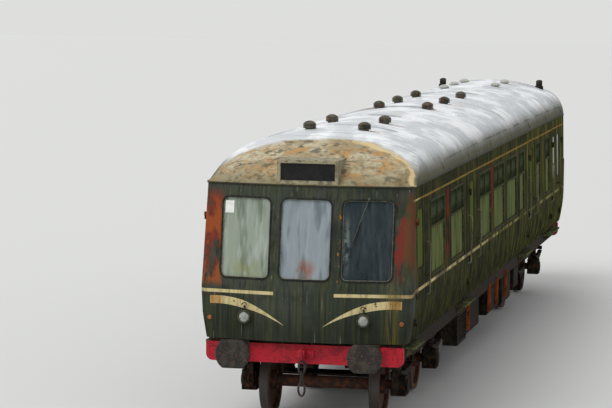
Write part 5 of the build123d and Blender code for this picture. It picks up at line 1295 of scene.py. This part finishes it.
@dataclass
class Doors:
    """Side doors: each leaf is split from its pane."""

    leaves: tuple[str, ...] = (
        "cab_door", "front_saloon_door", "rear_saloon_door", "van_front_leaf", "van_rear_leaf",
    )

    def dress(self, paint: Material, glass: Material, pale_glass: Material) -> None:
        """Paint each leaf and give its pane its own glass.

        Args:
            paint: paint of the leaves.
            glass: glass of the cab and saloon doors.
            pale_glass: glass of the van's doors, which is whitened.
        """
        for leaf in self.leaves:
            pane_glass = pale_glass if leaf.startswith("van") else glass
            for side in ("left", "right"):
                node = f"{leaf}_{side}"
                parts = loose_parts(node)
                panel = max(parts, key=lambda part: np.prod(np.ptp(part[0], axis=0)))
                pane = [part for part in parts if part is not panel]
                merged_copy(node, paint, parts=[panel])
                if pane:
                    piece = merged_copy(node, pane_glass, parts=pane, name=f"{node}_pane")


@dataclass
class RoofGear:
    """The roof with its seams, ventilators, exhausts and the destination box."""

    seams: tuple[float, ...] = (6.10, 3.70, 1.30, -1.10, -3.50, -5.90, -8.30)
    shoulder: float = 0.480
    rise: float = 0.640
    plain_hoods_behind: float = -4.0
    blind_x: float = 8.722
    blind_half_width: float = 0.363
    blind_z: Span = (3.306, 3.536)

    def section(self, inset: float, count: int = 40) -> Points:
        """Give the roof's section from one gutter to the other.

        Two shoulder arcs of the shoulder radius meet one crown arc, which touches them.

        Args:
            inset: how far inside the roof's skin the section runs; negative is outside.
            count: how many points.

        Returns:
            Y and Z of the points.
        """
        centre = GUTTER_HALF_WIDTH - self.shoulder
        crown = (centre**2 + self.rise**2 - self.shoulder**2) / (2 * (self.rise - self.shoulder))
        joint = math.atan2(crown - self.rise, centre)
        y = np.linspace(-1, 1, count) * (GUTTER_HALF_WIDTH - 0.004)
        joint_y = centre + self.shoulder * math.cos(joint)
        across = np.abs(y)
        over = np.where(
            across > joint_y, np.sqrt(np.clip(self.shoulder**2 - (across - centre) ** 2, 0, None)),
            self.rise - crown + np.sqrt(np.clip(crown**2 - y**2, 0, None)),
        )
        normal_y = np.where(across > joint_y, (across - centre) / self.shoulder, across / crown)
        normal_z = np.sqrt(1 - normal_y**2)
        y = y - np.sign(y) * inset * normal_y
        return np.stack([y, GUTTER_Z + over - inset * normal_z], axis=1)

    def dress(
        self,
        paint: Material,
        vents: Material,
        pale_vents: Material,
        exhausts: Material,
        sign: Material,
    ) -> None:
        """Paint the CAD pieces on the roof, with the plain hoods at the rear paler.

        Args:
            paint: paint of the roof.
            vents: finish of the ribbed ventilators.
            pale_vents: finish of the plain ones.
            exhausts: finish of the exhaust stubs.
            sign: finish of the destination box.
        """
        merged_copy("roof", paint, crease=24.0)
        hoods = loose_parts("roof_vents")
        ribbed = [hood for hood in hoods if hood[0][:, 0].mean() > self.plain_hoods_behind]
        plain = [hood for hood in hoods if hood[0][:, 0].mean() <= self.plain_hoods_behind]
        merged_copy("roof_vents", vents, parts=ribbed, name="ribbed_vents")
        merged_copy("roof_vents", pale_vents, parts=plain, name="plain_vents")
        merged_copy("exhaust_pipes", exhausts)
        merged_copy("destination_box", sign)

    def build_blind(self, cloth: Material, glass_bead: Material) -> None:
        """Stand a blank blind in the destination box, bowed 3 mm, with a bead round it.

        Args:
            cloth: finish of the blind.
            glass_bead: finish of the bead.
        """
        half = self.blind_half_width
        y, z = np.meshgrid(np.linspace(-half, half, 17), self.blind_z)
        face = np.stack([self.blind_x + 0.001 + 0.003 * (1 - (y / half) ** 2), y, z], axis=-1)
        back = face - (0.0012, 0, 0)
        blind = Form()
        blind.sheet(np.stack([face[0], face[1], back[1], back[0]]), close_rows=True)
        blind.piece("destination_blind", "body", cloth, "sign_paint")
        bead = Form()
        outline = rounded(2 * half, self.blind_z[1] - self.blind_z[0], 0.012, 3)
        middle = (0, sum(self.blind_z) / 2)
        path = np.column_stack([np.full(len(outline), self.blind_x + 0.006), outline + middle])
        bead.sweep(path, circle(0.005, 6), closed=True, up=(1, 0, 0))
        bead.piece("destination_bead", "body", glass_bead, "sign_paint")

    def build_seams(self, paint: Material) -> None:
        """Lay a low cover strip across the roof at each joint of its sheets.

        Args:
            paint: paint of the strips.
        """
        strips = Form()
        section = self.section(0.001)
        for x in self.seams:
            path = np.column_stack([np.full(len(section), x), section])
            strips.sweep(path, rounded(0.045, 0.008, 0.003, 1), up=(1, 0, 0))
        strips.piece("roof_seam_strips", "body", paint, "roof_paint")

    def build_rain_strips(self, paint: Material) -> None:
        """Run a rain strip along each shoulder, bowed down at its ends.

        Args:
            paint: paint of the strips.
        """
        strips = Form()
        for sign in (1, -1):
            x = np.linspace(-8.55, 6.2, 60)
            height = GUTTER_Z + 0.20 - 0.035 * ((x + 1.17) / 7.4) ** 6
            centre = GUTTER_HALF_WIDTH - self.shoulder
            y = centre + np.sqrt(self.shoulder**2 - (height - GUTTER_Z) ** 2)
            strips.sweep(np.stack([x, sign * (y + 0.004), height], axis=1), rounded(0.016, 0.014, 0.004, 1))
        strips.piece("rain_strips", "body", paint, "roof_paint")


@dataclass
class Underfloor:
    """Everything below the floor that the bogies don't carry."""

    beams: tuple[str, ...] = ("solebars", "cross_members")
    hung: tuple[str, ...] = ("engines", "radiators", "equipment_boxes", "air_reservoirs")
    hangers_x: tuple[float, ...] = (2.86, 0.56, -0.34, -1.44)
    hanger_y: Span = (1.259, 1.308)
    hanger_z: Span = (0.640, 1.080)
    hanger_thickness: float = 0.012
    hanger_bolt: float = 0.011

    def dress(self, iron: Material, boxes: Material, steps: Material, red: Material, steel: Material) -> None:
        """Give each CAD node its finish.

        Args:
            iron: finish of the solebars and cross members.
            boxes: finish of what hangs below them.
            steps: finish of the footsteps.
            red: paint of the buffer beams.
            steel: finish of the buffers.
        """
        for node in self.beams:
            merged_copy(node, iron)
        for node in self.hung:
            merged_copy(node, boxes)
        merged_copy("footsteps", steps)
        merged_copy("buffer_beams", red)
        merged_copy("buffers", steel)

    def build_hangers(self, rusty: Material) -> None:
        """Hang flat iron straps from the outside of each solebar, a bolt head near each end.

        Args:
            rusty: finish of the straps.
        """
        straps = Form()
        low, high = self.hanger_z
        half = self.hanger_thickness / 2
        bolt = [(self.hanger_bolt, -2 * half), (self.hanger_bolt, 2 * half)]
        for side in (1, -1):
            near, far = sorted(side * y for y in self.hanger_y)
            for x in self.hangers_x:
                straps.slab((x - half, near, low), (x + half, far, high))
                for z in (low + 0.03, high - 0.03):
                    straps.turned(bolt, (x, (near + far) / 2, z), (1, 0, 0), 6)
        straps.piece("equipment_hangers", "body", rusty, "frame_paint")


@dataclass
class RunningGear:
    """Bogie frames, axleboxes and wheelsets."""

    def dress(self, iron: Material, wheels: Sequence[Material]) -> None:
        """Give each bogie its iron and each wheelset its own steel.

        Args:
            iron: finish of the frames and axleboxes.
            wheels: one finish per wheelset, centred on its axle.
        """
        for place in ("front", "rear"):
            merged_copy(f"bogie_frame_{place}", iron)
            merged_copy(f"axleboxes_{place}", iron)
        for number, steel in enumerate(wheels, start=1):
            merged_copy(f"wheelset_{number}", steel)


@dataclass
class Interior:
    """What shows through the glass: floor, partitions, upholstered seats and the desk."""

    plinth_top: float = 0.300
    board: float = 0.016
    cushion_front: float = 0.480
    cushion_half: float = 0.072
    back_middle: float = 0.770
    back_half: float = 0.030
    back_half_height: float = 0.320
    back_lean: float = 0.006
    driver_pan: float = 0.420
    driver_plate: float = 0.040
    driver_column: float = 0.045
    driver_cushion: float = 0.078
    cushion_fill: float = 0.85
    back_fill: float = 0.8

    def dress(self, lino: Material, veneer: Material, cloth: Material, desk: Material) -> None:
        """Give each CAD node its finish.

        Args:
            lino: finish of the floor.
            veneer: finish of partitions and seat boards.
            cloth: cloth of the pads.
            desk: finish of the desk and the driver's seat.
        """
        merged_copy("floor", lino)
        merged_copy("partitions", veneer)
        panel, seat = sorted(loose_parts("cab_controls"), key=lambda part: -part[0][:, 0].mean())
        merged_copy("cab_controls", desk, parts=[panel], name="driver_desk")
        self._driver_seat(seat[0], cloth, desk)
        self._upholster(cloth, veneer)

    def _upholster(self, cloth: Material, board: Material) -> None:
        """Build every seat from its CAD solid: plinth, back board, and a pad for each facing.

        Args:
            cloth: cloth of the pads.
            board: finish of the boards.
        """
        boards, pads = Form(), []
        for points, _ in loose_parts("seats"):
            low, high = points.min(axis=0), points.max(axis=0)
            top = points[points[:, 2] > high[2] - 0.01]
            back_x = 0.5 * (top[:, 0].min() + top[:, 0].max())
            floor = points[points[:, 2] < low[2] + 0.01]
            faces = [
                facing
                for facing, reach in ((1, high[0]), (-1, low[0]))
                if abs(reach - back_x) > self.cushion_front / 2
            ]
            if len(faces) == 1:
                back_x = low[0] if faces[0] > 0 else high[0]
            boards.slab(
                (floor[:, 0].min(), low[1] + 0.02, low[2]),
                (floor[:, 0].max(), high[1] - 0.02, low[2] + self.plinth_top), 0.012,
            )
            inner = 0.0 if len(faces) == 1 else self.board
            lean = (inner, self.board) if faces[0] > 0 else (self.board, inner)
            boards.slab(
                (back_x - lean[0], low[1] + 0.01, low[2] + self.plinth_top),
                (back_x + lean[1], high[1] - 0.01, high[2] - 0.02), 0.010,
            )
            pads += [(facing, back_x, low, high) for facing in faces]
        boards.piece("seat_boards", "body", board, "veneer")
        for number, pad in enumerate(pads, start=1):
            self._pad(*pad, number, cloth)

    def _pad(
        self, facing: int, back_x: float, low: Points, high: Points, number: int, cloth: Material
    ) -> None:
        """Build one seat's cushion and its back pad.

        Args:
            facing: 1 towards the cab, -1 towards the rear.
            back_x: middle of the back board.
            low: the seat's corner with the least X, Y and Z.
            high: its opposite corner.
            number: the seat's number.
            cloth: cloth of the pads.
        """
        middle_y = (low[1] + high[1]) / 2
        half_y = (high[1] - low[1]) / 2 - 0.012
        seat_from, seat_to = self.board + 0.055, self.cushion_front
        cushion = pillow(
            (
                back_x + facing * (seat_from + seat_to) / 2,
                middle_y,
                low[2] + self.plinth_top + self.cushion_half,
            ),
            ((seat_to - seat_from) / 2, half_y, self.cushion_half),
        )
        back = pillow(
            (back_x + facing * (self.board + self.back_half), middle_y, low[2] + self.back_middle),
            (self.back_half, half_y, self.back_half_height), upright=True,
        )
        rise = (back[..., 2] - low[2] - self.back_middle) / self.back_half_height
        back[..., 0] -= facing * self.back_lean * rise
        self._cover(cushion, f"seat_cushion_{number:02d}", "seats", cloth)
        self._cover(back, f"seat_back_{number:02d}", "seats", cloth)

    def _cover(self, grid: Points, name: str, node: str, cloth: Material) -> None:
        """Args:
            grid: points with shape (rows, columns, 3).
            name: the pad's name.
            node: the CAD node that it replaces.
            cloth: its cloth.
        """
        form = Form()
        form.sheet(grid, close_columns=True)
        pad = form.piece(name, "body", cloth, "moquette", crease=60.0)
        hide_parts(node)

    def _driver_seat(self, points: Points, cloth: Material, metal: Material) -> None:
        """Build the driver's seat in its CAD solid's space: column, pan, shell and two pads.

        Args:
            points: corners of the seat's CAD solid.
            cloth: cloth of the pads.
            metal: finish of the stand.
        """
        low, high = points.min(axis=0), points.max(axis=0)
        middle_y, half_y = (low[1] + high[1]) / 2, (high[1] - low[1]) / 2
        pan = low[2] + self.driver_pan
        shell = low[0] + 0.012
        stand = Form()
        stand.slab((low[0] + 0.04, low[1], low[2]), (high[0], high[1], low[2] + self.driver_plate))
        column = [(self.driver_column, 0.0), (self.driver_column, self.driver_pan - 0.04)]
        stand.turned(column, ((low[0] + high[0]) / 2 + 0.02, middle_y, low[2] + 0.03), (0, 0, 1), 20)
        stand.slab((low[0], low[1] + 0.01, pan - 0.012), (high[0] - 0.01, high[1] - 0.01, pan))
        stand.slab((low[0], low[1] + 0.01, pan), (shell, high[1] - 0.01, high[2] - 0.02))
        piece = stand.piece("driver_seat_stand", "body", metal, "desk_paint")
        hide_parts("cab_controls")
        half_height = self.driver_cushion / 2
        cushion_from = low[0] + 2 * self.back_half + 0.018
        cushion = pillow(
            ((cushion_from + high[0]) / 2, middle_y, pan + half_height),
            ((high[0] - cushion_from) / 2, half_y - 0.004, half_height),
        )
        half_back = (high[2] - pan) / 2
        back = pillow(
            (shell + self.back_half - 0.002, middle_y, pan + half_back),
            (self.back_half - 0.002, half_y - 0.004, half_back - 0.004), upright=True,
        )
        self._cover(cushion, "driver_cushion", "cab_controls", cloth)
        self._cover(back, "driver_back", "cab_controls", cloth)


@dataclass
class Studio:
    """A pale floor, a pale world, soft light and the photograph's view."""

    focal_px: float = 2788.0
    width_px: float = 612.0
    sensor_mm: float = 36.0
    place: tuple[float, float, float] = (43.965, 7.170, 6.268)
    yaw_deg: float = 11.53
    pitch_deg: float = 5.18
    roll_deg: float = 0.68

    def build_floor(self) -> None:
        """Lay a wide pale floor under the wheels."""
        coat = Finish("studio_floor", "#d9d9d6", 0.8)
        coat.raise_by(coat.clouds((900, 900, 900), 3.0), 0.5, 0.1)
        half = 150.0
        mesh = bpy.data.meshes.new("studio_floor")
        mesh.from_pydata(
            [(-half, -half, 0), (half, -half, 0), (half, half, 0), (-half, half, 0)], [], [(0, 1, 2, 3)],
        )
        mesh.materials.append(coat.done())
        floor = bpy.data.objects.new("studio_floor", mesh)
        bpy.context.scene.collection.objects.link(floor)

    def build_light(self) -> None:
        """Light the coach with an even pale sky and one broad soft sun."""
        world = bpy.data.worlds.new("studio_sky")
        bpy.context.scene.world = world
        world.use_nodes = True
        tree = world.node_tree
        tree.nodes.clear()

        def node(kind: str, inputs: dict) -> bpy.types.Node:
            """Add a node with its links and values."""
            added = tree.nodes.new(kind)
            for key, value in inputs.items():
                if isinstance(value, NodeSocket):
                    tree.links.new(value, added.inputs[key])
                else:
                    added.inputs[key].default_value = value
            return added

        sky = node("ShaderNodeBackground", {0: linear("#f4f6f8"), 1: 0.62})
        seen = node("ShaderNodeBackground", {0: linear("#dedfdd"), 1: 1.0})
        rays = node("ShaderNodeLightPath", {}).outputs
        either = node("ShaderNodeMath", {0: rays["Is Camera Ray"], 1: rays["Is Transmission Ray"]})
        either.operation = "MAXIMUM"
        mixed = node("ShaderNodeMixShader", {0: either.outputs[0], 1: sky.outputs[0], 2: seen.outputs[0]})
        node("ShaderNodeOutputWorld", {0: mixed.outputs[0]})
        for name, energy, tilt_deg, turn_deg in (("key", 1.5, 38, 62), ("fill", 0.5, 62, -60)):
            lamp = bpy.data.lights.new(name, "SUN")
            lamp.energy = energy
            lamp.angle = math.radians(40)
            holder = bpy.data.objects.new(name, lamp)
            holder.rotation_euler = (math.radians(tilt_deg), 0.0, math.radians(turn_deg))
            bpy.context.scene.collection.objects.link(holder)

    def build_camera(self) -> None:
        """Set the camera by the yaw, pitch and roll that fit the photograph."""
        yaw, pitch, roll = (math.radians(angle) for angle in (self.yaw_deg, self.pitch_deg, self.roll_deg))
        ahead = np.array(
            [-math.cos(yaw) * math.cos(pitch), -math.sin(yaw) * math.cos(pitch), -math.sin(pitch)]
        )
        right = np.cross(ahead, (0, 0, 1))
        right /= np.linalg.norm(right)
        up = np.cross(right, ahead)
        turned = math.cos(roll) * right + math.sin(roll) * up
        upright = math.cos(roll) * up - math.sin(roll) * right
        lens = bpy.data.cameras.new("view")
        lens.sensor_width = self.sensor_mm
        lens.lens = self.focal_px / self.width_px * self.sensor_mm
        lens.clip_end = 500.0
        camera = bpy.data.objects.new("view", lens)
        matrix = np.eye(4)
        matrix[:3, 0], matrix[:3, 1], matrix[:3, 2] = turned, upright, -ahead
        matrix[:3, 3] = self.place
        camera.matrix_world = Matrix(matrix.tolist())
        bpy.context.scene.collection.objects.link(camera)
        bpy.context.scene.camera = camera


def main() -> None:
    """Build the studio and every sub-assembly of the coach in order."""
    logging.basicConfig(level=logging.INFO, format="%(message)s")
    bpy.context.scene.view_settings.view_transform = "Standard"
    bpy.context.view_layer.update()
    studio = Studio()
    studio.build_floor()
    studio.build_light()
    studio.build_camera()

    # Coach paint gone dull: dark green under algae, with faded cream lines where a panel has them
    side_green = CoachGreen("side_green", Livery.SIDE, growth_front=0.36, growth_rear=0.64).make()
    cab_green = CoachGreen(
        "cab_green",
        Livery.CAB,
        paint="#333a33",
        faded="#444940",
        grime_and_shade="#26281f",
        cream="#cbbb8a",
        growth_front=0.14,
        line_dirt=0.4,
        specular=0.06,
    ).make()
    plain_green = CoachGreen("plain_green", Livery.PLAIN).make()
    frame_green = Patina("window_frame_paint", "#3e3f30", "#565a30", "#2a2a22", 0.8, specular=0.02).make()
    # Rubber and putty hardened by the sun: nearly black seals and stone-coloured filler, both matt
    rubber = Patina("perished_rubber", "#171816", "#2a2c24", "#3d4030", 0.75).make()
    putty = Patina("aged_putty", "#7f806c", "#9c9c88", "#4f5238", 0.8).make()
    # Bare steel gone grey, with brown clouds of rust
    dull_steel = Patina("dull_steel", "#55564f", "#6f7066", "#6b4a30", 0.5, metallic=0.4).make()
    # Black paint under brake dust: brown-black iron with rust in patches. The boxes' copy has
    # darker dust and rust, painted shade for the shadow under the floor
    black_iron = SootyIron("sooty_iron").make()
    shaded_box_iron = SootyIron("dusty_shaded_box_paint", "#1b1a17", "#37312a", "#5d3820").make()
    # Lamps and fittings: a milky lens, rusting dark bodies, dulled orange plastic, card bleached white
    lamp_glass = Patina("lamp_glass", "#8f948c", "#a9ada4", "#5d6156", 0.15).make()
    lamp_paint = Patina("lamp_paint", "#2b2f26", "#43462f", "#7a4a28", 0.6).make()
    orange = Patina("orange_lamp_plastic", "#a5602a", "#7d4520", "#3c2c1a", 0.45).make()
    paper = Patina("sun_bleached_card", "#e9eae4", "#d9dad2", "#f2f3ee", 0.8).make()
    # Enamel that has kept most of its red, and grease that turns the buffers nearly black
    beam_red = Patina("buffer_beam_red", "#b0182a", "#8d1421", "#4a1416", 0.55).make()
    buffer_steel = Patina("greased_steel", "#23211e", "#3b362f", "#5c3c26", 0.45).make()
    # Lichen and rust mottle the ribbed vents, and the paint of the plain ones has chalked pale
    vent_iron = Patina("lichened_vent_iron", "#55564a", "#37372f", "#a4632f", 0.85).make()
    pale_vent = Patina("chalked_vent_iron", "#b9bbb4", "#9a9c90", "#8a5a3a", 0.85).make()
    # Matt black linen, pipes black with soot, and tan paint dried out by the sun
    blind_cloth = Patina("blank_blind_linen", "#121313", "#1b1c1b", "#26261f", 0.8).make()
    soot = Patina("exhaust_soot", "#1c1b1a", "#302a25", "#5a3a26", 0.9).make()
    sign = Patina("weathered_sign_paint", "#9d9478", "#6f6a54", "#4b4a3d", 0.75).make()
    # Boards greened by moss, and canvas gone matt and nearly black
    step_wood = Patina("mossy_step_board", "#504f3c", "#74784c", "#37362b", 0.9, specular=0.0).make()
    bellows = Patina("bellows_canvas", "#191918", "#2b2a27", "#3b382f", 0.85).make()

    shell = BodyShell()
    shell.dress(side_green, cab_green, plain_green, frame_green)
    shell.build_rubbers(rubber)
    cab = CabEnd()
    cab.build_rubbers(rubber, putty)
    cab.build_wiper(dull_steel, rubber)
    cab.build_lamps(lamp_paint, lamp_glass, lamp_paint)
    cab.build_fittings(paper, orange)
    merged_copy("marker_lamps", lamp_paint)
    # Paint worn by hands: dull khaki with brown patches
    rail_paint = Patina("worn_rail_paint", "#6a6954", "#83826c", "#4a3c2a", specular=0.05).make()
    merged_copy("grab_rails", rail_paint)
    merged_copy("gangway", bellows)
    merged_copy("gangway_door", plain_green)

    # Unwashed panes: mossy along the sides, whitened on the van, and one of the cab's clearer
    side_panes = SaloonGlass("mossy_side_glass", "#68704a", "#7c874e", "#484e34", 0.97, 55.0, 0.0).make()
    door_panes = DirtyGlass("mossy_door_glass", "#5a6438", "#74803f", "#2f3726", 0.95, 60.0, 0.0).make()
    van_panes = DirtyGlass("whitened_van_glass", "#a8aca6", "#c4c7c2", "#8b8f88", 1.0, 90.0, 0.1).make()
    cab.glaze(
        [
            DirtyGlass(
                "filmed_right_glass", "#949d8e", "#b0bbb6", "#798373", 0.97, 60.0, 0.1,
                "#8d9470", (-1.16, -0.45), (1.90, 2.36),
            ).make(),
            DirtyGlass(
                "filmed_middle_glass", "#8d979c", "#a2abaf", "#788287", 0.97, 75.0, 0.1,
                "#96604a", (-0.20, 0.20), (1.98, 2.34),
            ).make(),
            # Painted shade: this pane's dark film stands for the shade of the cab behind it
            DirtyGlass(
                "clearer_left_glass_shaded", "#2f383c", "#4d575a", "#1c2327", 0.90, 90.0, 0.1,
                "#76807c", (0.47, 0.60), (1.98, 3.00),
            ).make(),
        ]
    )
    merged_copy("side_glass", side_panes)
    Doors().dress(side_green, door_panes, van_panes)

    roof = RoofGear()
    roof.dress(RoofPaint().make(), vent_iron, pale_vent, soot, sign)
    roof.build_blind(blind_cloth, sign)
    roof.build_seams(RoofPaint("seam_strip_paint").make())
    roof.build_rain_strips(RoofPaint("rain_strip_paint", "#77796a").make())

    underfloor = Underfloor()
    underfloor.dress(black_iron, shaded_box_iron, step_wood, beam_red, buffer_steel)
    # Flat iron that has lost its paint: orange-brown rust all over
    strap = Patina("rusted_strap", "#9c4f28", "#6f3a20", "#b9683a", 0.9, specular=0.0).make()
    underfloor.build_hangers(strap)
    for end, face in ((1, 8.820), (-1, 8.800)):
        BufferEnd(face).build(end, buffer_steel, black_iron)
    RunningGear().dress(
        black_iron, [WheelSteel(f"wheel_steel_{n}", x).make() for n, x in enumerate(AXLES_X, start=1)],
    )
    # Scuffed brown lino, varnished veneer with upright grain, woven seat cloth and grey-green paint
    Interior().dress(
        Patina("worn_lino", "#4a3f34", "#5e5143", "#332b24", 0.6).make(),
        Patina("varnished_veneer", "#6b4a2c", "#7d5a38", "#4d3520", 0.4, (40, 40, 900)).make(),
        Moquette().make(), Patina("desk_paint", "#3c4845", "#4a5854", "#2a3230", 0.5).make(),
    )


if __name__ == "__main__":
    main()
